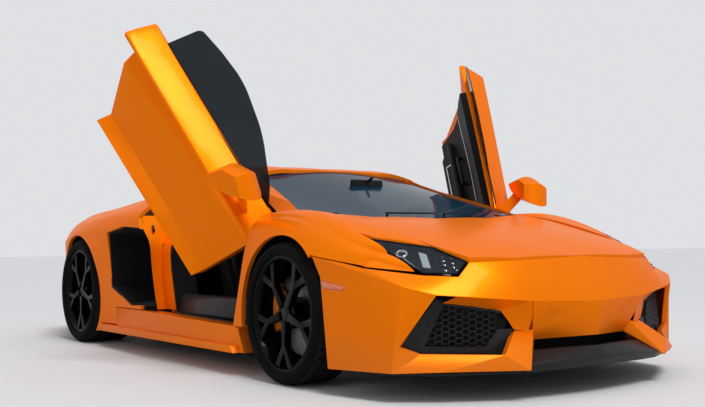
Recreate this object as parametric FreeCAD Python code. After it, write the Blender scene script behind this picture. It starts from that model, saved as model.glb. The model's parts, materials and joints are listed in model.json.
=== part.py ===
"""Mid-engined supercar with scissor doors, standing with both doors open.

Millimetres. +X points to the nose, +Y to the car's left and +Z up. The origin is on the ground,
under the middle of the car. Panels are written for the left side and mirrored.
"""
import FreeCAD, Part
import math
import os

V = FreeCAD.Vector

# Whole car
WHEELBASE = 2700.0
FRONT_AXLE_X = 1280.0
REAR_AXLE_X = FRONT_AXLE_X - WHEELBASE
FRONT_TRACK = 1720.0
REAR_TRACK = 1690.0
FLOOR_Z = 112.0
SKIN = 22.0
GAP = 6.0
SEAT_GAP = 0.3

# Wheels
FRONT_TYRE_R = 330.5
FRONT_TYRE_W = 255.0
FRONT_RIM_R = 271.0
REAR_TYRE_R = 355.0
REAR_TYRE_W = 335.0
REAR_RIM_R = 284.0
SPOKE_COUNT = 5
HUB_R = 74.0
BORE_R = 30.0
BEARING_CLEARANCE = 0.05
BRAKE_AIR = 6.0
FRONT_DISC_R = 200.0
REAR_DISC_R = 190.0
DISC_T = 36.0
KINGPIN_Y = FRONT_TRACK / 2 - 76
KINGPIN_R = 10.0
FRONT_ARCH_R = FRONT_TYRE_R + 35.5
REAR_ARCH_R = REAR_TYRE_R + 31
LINER_T = 5.0

# Scissor door: hinge line of the left door, and how far it stands open
HINGE = V(876.0, 950.0, 735.0)
HINGE_DIR = V(0.0547, -1.0, 0.3186)
DOOR_OPEN = 57.85
HINGE_ROUND = 85.0
HINGE_PIN_R = 12.0
DOOR_SWEEP_R = 1242.0

# Running fit of every hinge pin, on the radius
PIN_CLEARANCE = 0.05

# Lids: their hinge lines run across the car through these (x, z) places
COVER_EDGE_Y = 470.0
HOOD_HINGE = (1152.0, 772.0)
COVER_HINGE = (-740.0, 1024.0)
WING_HINGE = (-2185.0, 826.0)
LID_PIN_R = 6.0

# Tub
BOOT_WALL_Y = 515.0
REAR_WALL_X = -640.0
RAIL_Y = 380.0

# Steering wheel
WHEEL_CENTRE = V(620.0, 370.0, 700.0)
WHEEL_TILT = 22.0
WHEEL_RIM_R = 178.0
WHEEL_GRIP_R = 15.0
COLUMN_R = 12.0


def mirror_y(shape):
    return shape.mirror(V(0, 0, 0), V(0, 1, 0))


def both_sides(shape):
    return Part.makeCompound([shape, mirror_y(shape)])


def box(x0, x1, y0, y1, z0, z1):
    return Part.makeBox(x1 - x0, y1 - y0, z1 - z0, V(x0, y0, z0))


def polygon_face(points):
    return Part.Face(Part.makePolygon(points + [points[0]]))


def side_prism(points, y0, y1):
    """A solid cut out along Y from a side outline of (x, z) points."""
    return polygon_face([V(x, y0, z) for x, z in points]).extrude(V(0, y1 - y0, 0))


def plan_prism(points, z0, z1):
    """A solid cut out along Z from a plan outline of (x, y) points."""
    return polygon_face([V(x, y, z0) for x, y in points]).extrude(V(0, 0, z1 - z0))


def front_prism(points, x0, x1):
    """A solid cut out along X from a front outline of (y, z) points."""
    return polygon_face([V(x0, y, z) for y, z in points]).extrude(V(x1 - x0, 0, 0))


def cylinder(radius, start, end):
    axis = end - start
    return Part.makeCylinder(radius, axis.Length, start, axis)


def ring(inner, outer, start, end):
    return cylinder(outer, start, end).cut(cylinder(inner, start, end))


def turned(profile, centre=V(0, 0, 0)):
    """A solid of revolution about the Y line through centre, from (radius, y) points."""
    face = polygon_face([V(centre.x + r, centre.y + y, centre.z) for r, y in profile])
    return face.revolve(centre, V(0, 1, 0), 360)


def bar(start, end, width, height):
    """A straight bar of rectangular section between two points."""
    along = (end - start).normalize()
    side = along.cross(V(0, 0, 1))
    if side.Length < 0.01:
        side = V(1, 0, 0)
    side.normalize()
    rise = side.cross(along)
    corners = [
        start + side * (a * width / 2) + rise * (b * height / 2)
        for a, b in ((-1, -1), (1, -1), (1, 1), (-1, 1))
    ]
    return polygon_face(corners).extrude(end - start)


def facet_solid(corners, faces):
    """A closed solid of flat faces, each given by the places of its corners in the list."""
    shell = Part.Shell([polygon_face([corners[i] for i in face]) for face in faces])
    solid = Part.Solid(shell)
    if solid.Volume < 0:
        solid.reverse()
    return solid


def prism_between(front, back):
    """A solid between two four-cornered faces that need not be flat."""
    corners = front + back
    faces = [(0, 1, 2), (0, 2, 3), (4, 6, 5), (4, 7, 6)]
    for i in range(4):
        j = (i + 1) % 4
        faces += [(i, i + 4, j), (j, i + 4, j + 4)]
    return facet_solid(corners, faces)


def thick_panel(corners, faces):
    """A closed solid from faces of named corners, each corner given as (place, push to the inner side)."""
    place = {name: index for index, name in enumerate(corners)}
    count = len(place)
    outer = [V(*point) for point, push in corners.values()]
    inner = [V(*point) + V(*push) for point, push in corners.values()]
    triangles = []
    for face in faces:
        first = place[face[0]]
        for second, third in zip(face[1:], face[2:]):
            triangles.append((first, place[second], place[third]))
    edges = set()
    for a, b, c in triangles:
        edges |= {(a, b), (b, c), (c, a)}
    sides = []
    for a, b in sorted(edges):
        if (b, a) not in edges:
            sides += [(b, a, b + count), (a, a + count, b + count)]
    backs = [(c + count, b + count, a + count) for a, b, c in triangles]
    return facet_solid(outer + inner, triangles + sides + backs)


def mirrored_panel(corners, faces):
    """A thick panel of the left half, joined along the middle of the car with its mirror image."""
    both = dict(corners)
    twin = {}
    for name, ((x, y, z), (push_x, push_y, push_z)) in corners.items():
        twin[name] = name if y == 0 else "right_" + name
        both[twin[name]] = ((x, -y if y else y, z), (push_x, -push_y if y else push_y, push_z))
    return thick_panel(both, faces + [[twin[name] for name in face[::-1]] for face in faces])


def largest(shape):
    return max(shape.Solids, key=lambda solid: solid.Volume)


def polygon_loft(stations):
    """A solid through closed polygons with as many corners each."""
    wires = [Part.makePolygon(points + [points[0]]) for points in stations]
    return Part.makeLoft(wires, True, False)


def inward_offsets(points, normal, depth):
    """Each point moved square to the outline by depth, to the inner side of the skin."""
    sides = []
    for start, end in zip(points, points[1:]):
        sides.append(normal.cross((end - start).normalize()))
    moved = []
    for index, point in enumerate(points):
        before = sides[max(index - 1, 0)]
        after = sides[min(index, len(sides) - 1)]
        middle = (before + after).normalize()
        shifted = point - middle * (depth / max(middle.dot(after), 0.6))
        if point.y == 0:
            shifted.y = 0
        moved.append(shifted)
    return moved


def skin_wire(points, crowns, normal, depth):
    """The closed section of a skin: crowned outer line, inner line at the skin's depth."""
    inner = inward_offsets(points, normal, depth)
    edges = []
    for line, order in ((points, 1), (inner, -1)):
        part = []
        for start, end, crown in zip(line, line[1:], crowns):
            if crown:
                rise = normal.cross((end - start).normalize()) * crown
                first, last = (start, end) if order > 0 else (end, start)
                part.append(Part.Arc(first, (start + end) * 0.5 + rise, last).toShape())
            else:
                first, last = (start, end) if order > 0 else (end, start)
                part.append(Part.makeLine(first, last))
        if order > 0:
            edges += part
            edges.append(Part.makeLine(points[-1], inner[-1]))
        else:
            edges += part[::-1]
            edges.append(Part.makeLine(inner[0], points[0]))
    return Part.Wire(edges)


def skin_along_x(rows, crowns, depth=SKIN, straight=False):
    """A skin through rows of x and (y, z) points, read from the car's middle outwards."""
    wires = []
    for x, points in rows:
        line = [V(x, y, z) for y, z in points]
        wires.append(skin_wire(line, crowns, V(1, 0, 0), depth))
    return Part.makeLoft(wires, True, straight)


def behind_doors(x):
    """Places behind the doors follow the rear axle; the doors and the tail stay where they are."""
    if x > -200:
        return x
    if x > -1420:
        return -200 + (x + 200) * (REAR_AXLE_X + 200) / -1220
    return -2390 + (x + 2390) * (REAR_AXLE_X + 2390) / 970


def export(name, shape):
    shape.exportStep("parts/" + name + ".step")


# Side outlines, as (x, z)


def door_outline(grow=0.0):
    """The door's shut line seen from the side, with its front end round the hinge."""
    lower = [V(-262, 0, 274), V(820, 0, 248), V(951, 0, 703)]
    upper = [V(925, 0, 804), V(915, 0, 1200), V(-470, 0, 1200), V(-430, 0, 830), V(-350, 0, 650), V(-243, 0, 345)]
    edges = [Part.makeLine(a, b) for a, b in zip(lower, lower[1:])]
    edges.append(Part.Arc(lower[-1], V(HINGE.x + HINGE_ROUND, 0, HINGE.z), upper[0]).toShape())
    edges += [Part.makeLine(a, b) for a, b in zip(upper, upper[1:] + [lower[0]])]
    wire = Part.Wire(edges)
    if grow:
        wire = Part.Wire(Part.Face(wire).makeOffset2D(grow).Edges)
    return Part.Face(wire)


def door_prism(grow=0.0):
    return door_outline(grow).translated(V(0, 300, 0)).extrude(V(0, 900, 0))


def door_room():
    """The space behind its shut line that the shut left door takes, with the doors' air gap."""
    section = [(850, 150), (850, 636), (736, 848), (736, 1210), (1210, 1210), (1210, 150)]
    return door_prism(GAP).common(front_prism(section, -700, 1000))


INTAKE = [(-252, 672), (-165, 354), (-182, 304), (-564, 287), (-841, 396), (-885, 750), (-640, 785), (-420, 770)]

# Plan outline of the hood's left half, as (x, y)
HOOD_PLAN = [
    (2212, -60), (2212, 0), (2201, 361), (2138, 573), (1975, 624), (1800, 640), (1150, 690), (1186, 570),
    (1222, 430), (1262, 220), (1276, 0), (1276, -60),
]


def front_arch(grow=0.0):
    centre = V(FRONT_AXLE_X, 500, FRONT_TYRE_R)
    return cylinder(FRONT_ARCH_R + grow, centre, centre + V(0, 600, 0))


def rear_arch(grow=0.0):
    centre = V(REAR_AXLE_X, 500, REAR_TYRE_R)
    return cylinder(REAR_ARCH_R + grow, centre, centre + V(0, 600, 0))


# Body skins. Each row is x, then the (y, z) of the named lines

FENDER_CROWNS = [6, 14, 10, 4, 0]
FENDER_LINES = [
    # x, hood edge, crest, shoulder, flare, crease, foot
    (2055, [(590, 606), (655, 576), (700, 550), (755, 522), (775, 505), (800, 248)]),
    (1842, [(630, 678), (750, 648), (800, 612), (850, 580), (901, 546), (925, 248)]),
    (1600, [(630, 738), (770, 733), (880, 694), (955, 610), (985, 506), (990, 248)]),
    (1280, [(660, 786), (770, 811), (890, 776), (962, 715), (988, 640), (990, 248)]),
    (1050, [(700, 806), (785, 815), (890, 785), (955, 730), (980, 600), (985, 248)]),
    (760, [(760, 815), (800, 813), (880, 790), (950, 738), (960, 560), (975, 248)]),
]

HOOD_CROWNS = [4, 4]
HOOD_LINES = [
    # x, middle, crease, edge
    (2240, [(0, 575), (330, 566), (700, 520)]),
    (2000, [(0, 655), (340, 655), (700, 618)]),
    (1800, [(0, 705), (350, 706), (700, 675)]),
    (1600, [(0, 742), (370, 745), (700, 728)]),
    (1280, [(0, 780), (400, 783), (760, 795)]),
    (1080, [(0, 795), (430, 798), (760, 812)]),
]

QUARTER_CROWNS = [6, 12, 8, 3, 0, 0]
QUARTER_LINES = [
    # x, deck, crest, haunch, shoulder, flare, side, foot
    (-400, [(560, 985), (680, 988), (815, 944), (950, 850), (962, 800), (962, 560), (962, 110)]),
    (-700, [(500, 1006), (690, 980), (830, 936), (960, 856), (985, 780), (965, 560), (962, 108)]),
    (-1045, [(480, 996), (690, 958), (825, 915), (962, 846), (1004, 770), (1000, 560), (968, 104)]),
    (-1420, [(480, 955), (700, 928), (830, 886), (960, 820), (1013, 745), (1013, 560), (1000, 104)]),
    (-1800, [(480, 912), (700, 900), (810, 868), (905, 795), (966, 700), (960, 520), (930, 250)]),
    (-2000, [(480, 878), (695, 870), (775, 845), (855, 785), (900, 700), (893, 520), (870, 280)]),
    (-2290, [(480, 818), (680, 812), (735, 795), (772, 768), (800, 700), (795, 520), (780, 320)]),
]

ROOF_CROWNS = [3, 12, 4, 2]
ROOF_LINES = [
    # x, middle, rail top, rail side, rail foot, drip edge
    (345, [(0, 1098), (300, 1094), (540, 1068), (596, 1048), (668, 1022)]),
    (100, [(0, 1130), (300, 1130), (555, 1106), (608, 1078), (650, 1060)]),
    (-150, [(0, 1132), (300, 1134), (560, 1112), (614, 1082), (650, 1062)]),
    (-450, [(0, 1112), (300, 1118), (560, 1096), (612, 1066), (644, 1050)]),
    (-700, [(0, 1086), (300, 1090), (555, 1068), (606, 1040), (634, 1026)]),
]

DOOR_LINES = [
    # x, belt, crest, lip, channel, panel top, panel foot, flange, flange foot, inner foot, inner lip, inner belt
    (-460, [(772, 860), (958, 813), (962, 795), (868, 700), (928, 640), (935, 345), (994, 278), (990, 262),
            (880, 262), (860, 640), (748, 846)]),
    (-100, [(790, 850), (957, 795), (960, 780), (892, 708), (936, 660), (938, 342), (990, 268), (986, 252),
            (880, 252), (862, 640), (764, 838)]),
    (350, [(797, 832), (955, 768), (958, 757), (918, 716), (942, 686), (941, 338), (983, 258), (979, 242),
           (880, 242), (864, 640), (770, 820)]),
    (700, [(795, 818), (953, 748), (955, 740), (940, 722), (949, 708), (942, 334), (976, 250), (972, 234),
           (880, 234), (866, 640), (770, 806)]),
    (980, [(790, 806), (950, 738), (952, 730), (942, 716), (950, 702), (942, 330), (970, 244), (966, 228),
           (880, 228), (866, 640), (768, 794)]),
]


def hinge_pin(place, y0, y1, radius):
    """A lid's pin across the car, from its (x, z) place."""
    x, z = place
    return cylinder(radius, V(x, y0, z), V(x, y1, z))


def fenders():
    skin = skin_along_x(FENDER_LINES[1:], FENDER_CROWNS)
    skin = skin.fuse(skin_along_x(FENDER_LINES[:2], FENDER_CROWNS, SKIN, True))
    skin = skin.cut(front_arch())
    skin = skin.cut(door_prism(GAP))
    hood_side = [(x, y + GAP) for x, y in HOOD_PLAN[3:7]]
    plan = [(2400, 0), (2400, hood_side[0][1])] + hood_side + [(1106, 762), (700, 762), (700, 0)]
    skin = skin.cut(plan_prism(plan, 0, 1300))
    bumper = [(1480, 100), (1538, 604), (1842, 552), (2055, 527), (2200, 515), (2200, 100)]
    skin = skin.cut(side_prism(bumper, 0, 1200))
    lamp = [(1696, 803), (1973, 622), (2143, 568), (2300, 566), (2300, 800), (2066, 764), (1706, 809)]
    skin = skin.cut(plan_prism(lamp, 0, 1300))
    return both_sides(largest(skin))


def hood():
    half = skin_along_x(HOOD_LINES, HOOD_CROWNS)
    half = half.common(plan_prism(HOOD_PLAN, 0, 1300))
    x, z = HOOD_HINGE
    ear = side_prism([
        (x - 9, z - 9), (x + 9, z - 9), (x + 58, z - 6), (x + 58, z + 16), (x + 9, z + 16), (x - 9, z + 9),
    ], 655, 669)
    half = half.fuse(ear).cut(hinge_pin(HOOD_HINGE, 650, 674, LID_PIN_R + PIN_CLEARANCE))
    return half.fuse(mirror_y(half))


def roof():
    half = skin_along_x(ROOF_LINES, ROOF_CROWNS)
    # glass edge g and door edge d of the windscreen pillar, from its foot to the roof
    pillar = thick_panel({
        "g0": ((1098, 748, 814), (-6, -2, -24)), "g1": ((929, 700, 871), (-6, -2, -24)),
        "g2": ((582, 607, 975), (-6, -2, -24)), "g3": ((320, 544, 1064), (-6, -2, -20)),
        "d0": ((911, 750, 803), (-4, -22, -10)), "d1": ((742, 724, 882), (-4, -22, -10)),
        "d2": ((582, 702, 954), (-4, -20, -12)), "d3": ((320, 664, 1024), (-4, -14, -14)),
    }, [("g0", "d0", "g1"), ("g1", "d0", "d1"), ("g1", "d1", "d2", "g2"), ("g2", "d2", "d3", "g3")])
    foot = box(960, 1060, 700, 740, 766, 822)
    foot = foot.cut(box(900, 1100, 690, 760, 840, 900))
    half = half.fuse([pillar, foot])
    return half.fuse(mirror_y(half))


def windscreen_face():
    """The pane's outer face, reaching under the pillars."""
    arcs = []
    # x, z at the middle, then x, y, z at the edge
    for mid_x, mid_z, x, y, z in ((1262, 776, 1100, 742, 808), (800, 938, 700, 644, 928), (340, 1092, 320, 545, 1052)):
        arc = Part.Arc(V(x, -y, z), V(mid_x, 0, mid_z), V(x, y, z)).toShape()
        arcs.append(Part.Wire([arc]))
    return Part.makeLoft(arcs, False, False).Faces[0]


def windscreen(roof_shape):
    pane = windscreen_face().extrude(V(-2, 0, -6.5))
    hood_edge = [(x - GAP, y) for x, y in HOOD_PLAN[6:]]
    hood_room = plan_prism(hood_edge + [(1900, -60), (1900, 690)], 0, 1300)
    hood_room = hood_room.fuse(hinge_pin(HOOD_HINGE, 540, 800, 46))
    return largest(pane.cut([roof_shape, hood_room, mirror_y(hood_room)]))


def cowl(tub_shape):
    """The black tray between the hood and the windscreen, with the pane's seat and the hood's pins."""
    tray = plan_prism([(1300, 0), (1250, 420), (1166, 660), (1062, 660), (1120, 420), (1170, 0)], 735, 745)
    strip = plan_prism([(1250, 0), (1232, 200), (1186, 420), (1124, 600), (1104, 600), (1166, 420), (1212, 200),
                        (1230, 0)], 740, 880)
    above = windscreen_face().translated(V(-2, 0, -6.5)).extrude(V(0, 0, 400))
    strip = strip.cut(above)
    bracket = box(HOOD_HINGE[0] - 7, HOOD_HINGE[0] + 7, 634, 648, 740, HOOD_HINGE[1] + 7)
    half = tray.fuse([strip, bracket, hinge_pin(HOOD_HINGE, 640, 672, LID_PIN_R)])
    half = half.cut(front_arch(LINER_T + 32))
    return largest(half.fuse(mirror_y(half)).cut(tub_shape))


def bumper_front():
    """The nose, its side intakes and the lip, as one folded panel."""
    corners = {
        # upper edge a, nose crease k, centre foot c, horn h, opening's outer side o, lip b
        "a0": ((2218, 0, 584), (-2, 0, -24)), "a1": ((2207, 361, 572), (-2, 0, -24)),
        "a2": ((2146, 579, 566), (-8, 0, -24)), "a3": ((2144, 636, 508), (-14, 0, -20)),
        "a4": ((2060, 760, 516), (-8, -8, -22)), "a5": ((1842, 901, 546), (-4, -22, -12)),
        "a6": ((1550, 971, 598), (0, -24, 0)),
        "k0": ((2342, 0, 392), (-26, 0, 0)), "k1": ((2299, 361, 403), (-26, 0, 0)),
        "k2": ((2226, 600, 424), (-24, -6, 0)), "k3": ((2147, 758, 438), (-22, -12, -4)),
        "k4": ((2060, 868, 474), (-12, -22, -8)), "k5": ((1599, 960, 506), (0, -24, 0)),
        "c0": ((2327, 0, 245), (-26, 0, 0)), "c1": ((2227, 292, 235), (-26, 0, 0)),
        "h1": ((2245, 315, 281), (-26, 0, 0)), "h2": ((2225, 400, 283), (-26, 0, -4)),
        "h3": ((2288, 520, 193), (-26, 0, -10)),
        "o1": ((2036, 868, 228), (-14, -22, 0)), "o2": ((2070, 780, 197), (-24, -8, -8)),
        "b0": ((2345, 432, 128), (-26, 0, 0)), "b1": ((2166, 735, 128), (-22, -14, 0)),
        "b2": ((2024, 900, 122), (-10, -24, 0)), "b3": ((1675, 975, 115), (0, -24, 0)),
    }
    faces = [
        ("a0", "k0", "k1", "a1"), ("a1", "k1", "k2", "a2"), ("a2", "k2", "a3"), ("a3", "k2", "k3"),
        ("a3", "k3", "a4"), ("a4", "k3", "k4"), ("a4", "k4", "a5"), ("a5", "k4", "k5", "a6"),
        ("k0", "c0", "c1"), ("k0", "c1", "h1"), ("k0", "h1", "k1"),
        ("h1", "c1", "b0"), ("h1", "b0", "h2"), ("h2", "b0", "h3"),
        ("h3", "b0", "b1"), ("h3", "b1", "o2"), ("o2", "b1", "b2"), ("o2", "b2", "o1"),
        ("o1", "b2", "k4"), ("o1", "k4", "k3"), ("k4", "b2", "b3"), ("k4", "b3", "k5"),
    ]
    panel = mirrored_panel(corners, faces)
    lug = box(1900 + SEAT_GAP, 2296, 180, 220, 350, 380)
    return panel.fuse([lug, mirror_y(lug)])


def front_splitter(bumper):
    points = [(2320, 0), (2316, 300), (2300, 420), (2160, 725), (2020, 885), (1700, 940), (1650, 559), (1650, 0)]
    plate = plan_prism(points, FLOOR_Z, FLOOR_Z + 10)
    plate = plate.cut(front_arch(20))
    lip = polygon_loft([
        [V(2375, 0, 150), V(2333, 0, 200), V(2310, 0, 200), V(2260, 0, 118), V(2335, 0, 114)],
        [V(2361, 200, 150), V(2300, 200, 200), V(2278, 200, 200), V(2240, 200, 118), V(2325, 200, 114)],
        [V(2326, 425, 146), V(2240, 425, 190), V(2218, 425, 190), V(2200, 425, 118), V(2300, 425, 114)],
    ])
    half = plate.fuse(lip)
    return largest(half.fuse(mirror_y(half)).cut(bumper))


def front_meshes():
    side = thick_panel({
        "a": ((2212, 410, 385), (-12, 0, 0)), "b": ((2085, 730, 420), (-12, 0, 0)),
        "c": ((1990, 815, 235), (-12, 0, 0)), "d": ((2020, 740, 122.3), (-12, 0, 0)),
        "e": ((2190, 500, 122.3), (-12, 0, 0)), "f": ((2185, 410, 280), (-12, 0, 0)),
    }, [("a", "f", "e"), ("a", "e", "d"), ("a", "d", "b"), ("b", "d", "c")])
    middle = box(2140, 2152, -400, 400, FLOOR_Z + 10 + SEAT_GAP, 300)
    return Part.makeCompound([side, mirror_y(side), middle])


def headlamps(fender_shape):
    lamp = thick_panel({
        "tip": ((1712, 800, 677), (-20, -10, -30)), "top": ((1975, 631, 632), (-30, 8, -50)),
        "inner": ((2136, 583, 571), (-40, 6, -44)), "low_in": ((2134, 634, 519), (-44, 0, -10)),
        "low_out": ((2052, 752, 526), (-44, -30, -16)),
    }, [("tip", "top", "low_out"), ("top", "inner", "low_in"), ("top", "low_in", "low_out")])
    lug = box(1810, 1880, BOOT_WALL_Y + SEAT_GAP, 735, 572, 600)
    lamp = largest(lamp.cut(fender_shape))
    return both_sides(lamp.fuse(lug))


def side_intake(rows):
    return [(behind_doors(x), z) for x, z in rows]


def quarters():
    rows = [(behind_doors(x), points) for x, points in QUARTER_LINES]
    skin = skin_along_x(rows, QUARTER_CROWNS)
    skin = skin.cut(rear_arch())
    skin = skin.cut(door_prism(GAP))
    skin = skin.cut(side_prism(side_intake(INTAKE), 880, 1100))
    skin = skin.cut(box(behind_doors(-800), 0, 300, 1100, 0, 270))
    skin = skin.cut(box(behind_doors(-1040), 0, 300, 1100, 0, 156))
    cover = [(-400, 0), (-400, 560), (-700, 560), (-760, COVER_EDGE_Y + GAP), (-2400, COVER_EDGE_Y + GAP), (-2400, 0)]
    skin = skin.cut(plan_prism(cover, 0, 1300))
    lug = box(-474, -446, 860 + SEAT_GAP, 950, 800, 828)
    return both_sides(largest(skin.fuse(lug)))


def door_post(grow=0.0):
    """The post behind the left doorway, before the shut door's room is taken out of it."""
    outline = side_intake([
        (-225, 256.3), (-30, 256.3), (-190, 651), (-240, 838), (-490, 850), (-490, 780), (-400, 775), (-310, 700),
        (-215, 351),
    ])
    face = polygon_face([V(x, 690, z) for x, z in outline])
    if grow:
        face = Part.Face(Part.Wire(face.makeOffset2D(grow).Edges))
    return face.extrude(V(0, 170, 0))


def sills():
    outline = [(-800, 106), (900, 114), (845, 232), (815, 242), (-262, 262), (-800, 266)]
    sill = side_prism(side_intake(outline), 880, 962)
    sill = sill.cut(front_arch(14)).cut(rear_arch(14))
    outer = side_prism(side_intake([(-1030, 107), (859, 114), (830, 150), (-1000, 150)]), 940, 1000)
    outer = outer.cut(rear_arch(14)).cut(front_arch(14))
    post = largest(door_post().cut(door_room()))
    return both_sides(Part.makeCompound([sill.fuse(outer), post]))


def side_ducts(posts, skin):
    """Black ducts that lead from the side openings in to the radiators."""
    mouth_x = [(-246, 298), (-564, 281), (-850, 394), (-895, 755), (-640, 792), (-410, 776), (-270, 690)]
    bore_x = [(-262, 312), (-560, 297), (-836, 406), (-880, 740), (-638, 776), (-424, 762), (-284, 690)]
    throat = [(-560, 330), (-640, 330), (-820, 430), (-840, 690), (-640, 720), (-600, 715), (-560, 600)]
    throat_bore = [(-572, 346), (-636, 346), (-806, 440), (-824, 676), (-640, 704), (-606, 700), (-572, 600)]
    shapes = []
    for mouth, inner, out, deep in ((mouth_x, throat, 0, 620), (bore_x, throat_bore, 1, 640)):
        outer_wire = [V(x, 924 + out - 0.085 * (x + 246), z) for x, z in side_intake(mouth)]
        inner_wire = [V(x, deep, z) for x, z in side_intake(inner)]
        shapes.append(polygon_loft([outer_wire, inner_wire]))
    lug = box(-430, -240, 835, 850, 560, 590)
    duct = shapes[0].fuse(lug).cut(shapes[1])
    door_sweep = cylinder(DOOR_SWEEP_R, V(HINGE.x, 850, HINGE.z), V(HINGE.x, 1200, HINGE.z))
    return both_sides(largest(duct.cut([posts, skin, door_room(), door_sweep])))


def tub(roof_shape):
    """The carbon cell: floor, side boxes, tunnel, bulkheads, boot and the rear rails."""
    floor = box(REAR_WALL_X + 20, 1080, -760, 760, FLOOR_Z, FLOOR_Z + 30)
    side = side_prism([(-620, 112), (900, 112), (850, 236), (820, 236), (-262, 256), (-620, 256)], 750, 879.7)
    side = side.cut(front_arch(20)).cut(rear_arch(20))
    kick = side_prism([(905, 500), (1080, 640), (1080, 765), (940, 765), (905, 700)], 500, 740)
    body = floor.fuse([side, mirror_y(side), kick, mirror_y(kick)])
    tunnel = box(REAR_WALL_X + 20, 900, -110, 110, FLOOR_Z + 30, 330)
    front_wall = box(1060, 1080, -BOOT_WALL_Y, BOOT_WALL_Y, FLOOR_Z + 30, 734.7)
    shelf = box(1080, 1900, -500, 500, 330, 345)
    wall = box(1080, 1900, 500, BOOT_WALL_Y, 200, 640)
    nose = box(1885, 1900, -500, 500, 200, 560)
    body = body.fuse([tunnel, front_wall, shelf, wall, mirror_y(wall), nose])
    liner_room = front_arch(LINER_T + 31 + 4)
    body = body.cut(liner_room.common(box(0, 2000, BOOT_WALL_Y + 0.2, 1200, 0, 1300)))
    body = body.cut(mirror_y(liner_room.common(box(0, 2000, BOOT_WALL_Y + 0.2, 1200, 0, 1300))))
    rear_wall = box(REAR_WALL_X, REAR_WALL_X + 20, -559.7, 559.7, FLOOR_Z, 1130)
    rear_wall = largest(rear_wall.cut(roof_shape))
    return body.fuse(rear_wall)


def rear_frame():
    """Rails, towers and a cross beam that carry the engine, the rear wheels and the tail."""
    inner = 330 + SEAT_GAP
    rail = box(-2290, REAR_WALL_X - SEAT_GAP, inner, RAIL_Y, 240, 320)
    tower = box(REAR_AXLE_X - 200, REAR_AXLE_X + 200, inner, RAIL_Y, 240, 520)
    upright = box(-2290, -2250, inner, RAIL_Y, 240, 560)
    half = rail.fuse([tower, upright, box(-2290, -2250, 0, 600, 480, 560)])
    return half.fuse(mirror_y(half))


def underbody():
    front = plan_prism([(1699, 0), (1699, 560), (910, 560), (910, 759), (600, 759), (600, 0)], 98, FLOOR_Z)
    front = front.cut(front_arch(40))
    rear = plan_prism([(600, 0), (600, 759), (-960, 759), (-1000, 560), (-1900, 560), (-1900, 0)], 98, FLOOR_Z)
    rear = rear.cut(rear_arch(20))
    half = front.fuse(rear)
    return half.fuse(mirror_y(half))


def arch_liners(panels):
    """Black half tubes over the four wheels, reaching out to the body's skin."""
    parts = []
    for arch, x, z, radius, y0, y1 in (
        (front_arch, FRONT_AXLE_X, FRONT_TYRE_R, FRONT_ARCH_R + 26, BOOT_WALL_Y + SEAT_GAP, 935),
        (rear_arch, REAR_AXLE_X, REAR_TYRE_R, REAR_ARCH_R + 22, 560, 984),
    ):
        shell = ring(radius, radius + LINER_T, V(x, y0, z), V(x, y1, z))
        shell = shell.cut(box(x - 600, x + 600, y0 - 10, y1 + 10, 0, z + 60))
        for panel in panels:
            shell = shell.cut(panel)
        parts.append(largest(shell))
    return both_sides(Part.makeCompound(parts))


def engine():
    return box(REAR_AXLE_X + 120, REAR_WALL_X - SEAT_GAP, -330, 330, 160, 760)


def engine_cover():
    points = [(-745, 0), (-745, COVER_EDGE_Y), (-2150, COVER_EDGE_Y), (-2150, 0)]
    rows = [
        (-660, [(0, 1078), (300, 1066), (520, 1020)]),
        (-1100, [(0, 1022), (300, 1008), (520, 978)]),
        (-1600, [(0, 948), (300, 940), (520, 922)]),
        (-2200, [(0, 866), (300, 864), (520, 854)]),
    ]
    half = skin_along_x(rows, [2, 2], 20)
    half = half.common(plan_prism(points, 0, 1300))
    for index in range(4):
        x = -830 - 230 * index
        half = half.cut(plan_prism([(x, 50), (x, 380), (x - 150, 330), (x - 150, 50)], 0, 1300))
    x, z = COVER_HINGE
    ear = side_prism([
        (x - 10, z - 10), (x + 10, z - 10), (x + 10, z + 8), (x - 6, z + 26), (x - 60, z + 20), (x - 60, z + 6),
    ], 240, 260)
    half = half.fuse(ear).cut(hinge_pin(COVER_HINGE, 200, 300, LID_PIN_R + PIN_CLEARANCE))
    return half.fuse(mirror_y(half))


def lid_hinges():
    """Chassis brackets with the pins of the engine cover and the wing."""
    x, z = COVER_HINGE
    bracket = box(x - 8, REAR_WALL_X - SEAT_GAP, 270, 284, z - 14, z + 8)
    cover_pin = bracket.fuse(hinge_pin(COVER_HINGE, 236, 276, LID_PIN_R))
    x, z = WING_HINGE
    stand = box(x - 9, x + 9, 430, 444, 500, z + 9).fuse(box(-2250 + SEAT_GAP, x, 430, 444, 500, 560))
    wing_pin = stand.fuse(hinge_pin(WING_HINGE, 408, 440, LID_PIN_R))
    return both_sides(Part.makeCompound([cover_pin, wing_pin]))


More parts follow.
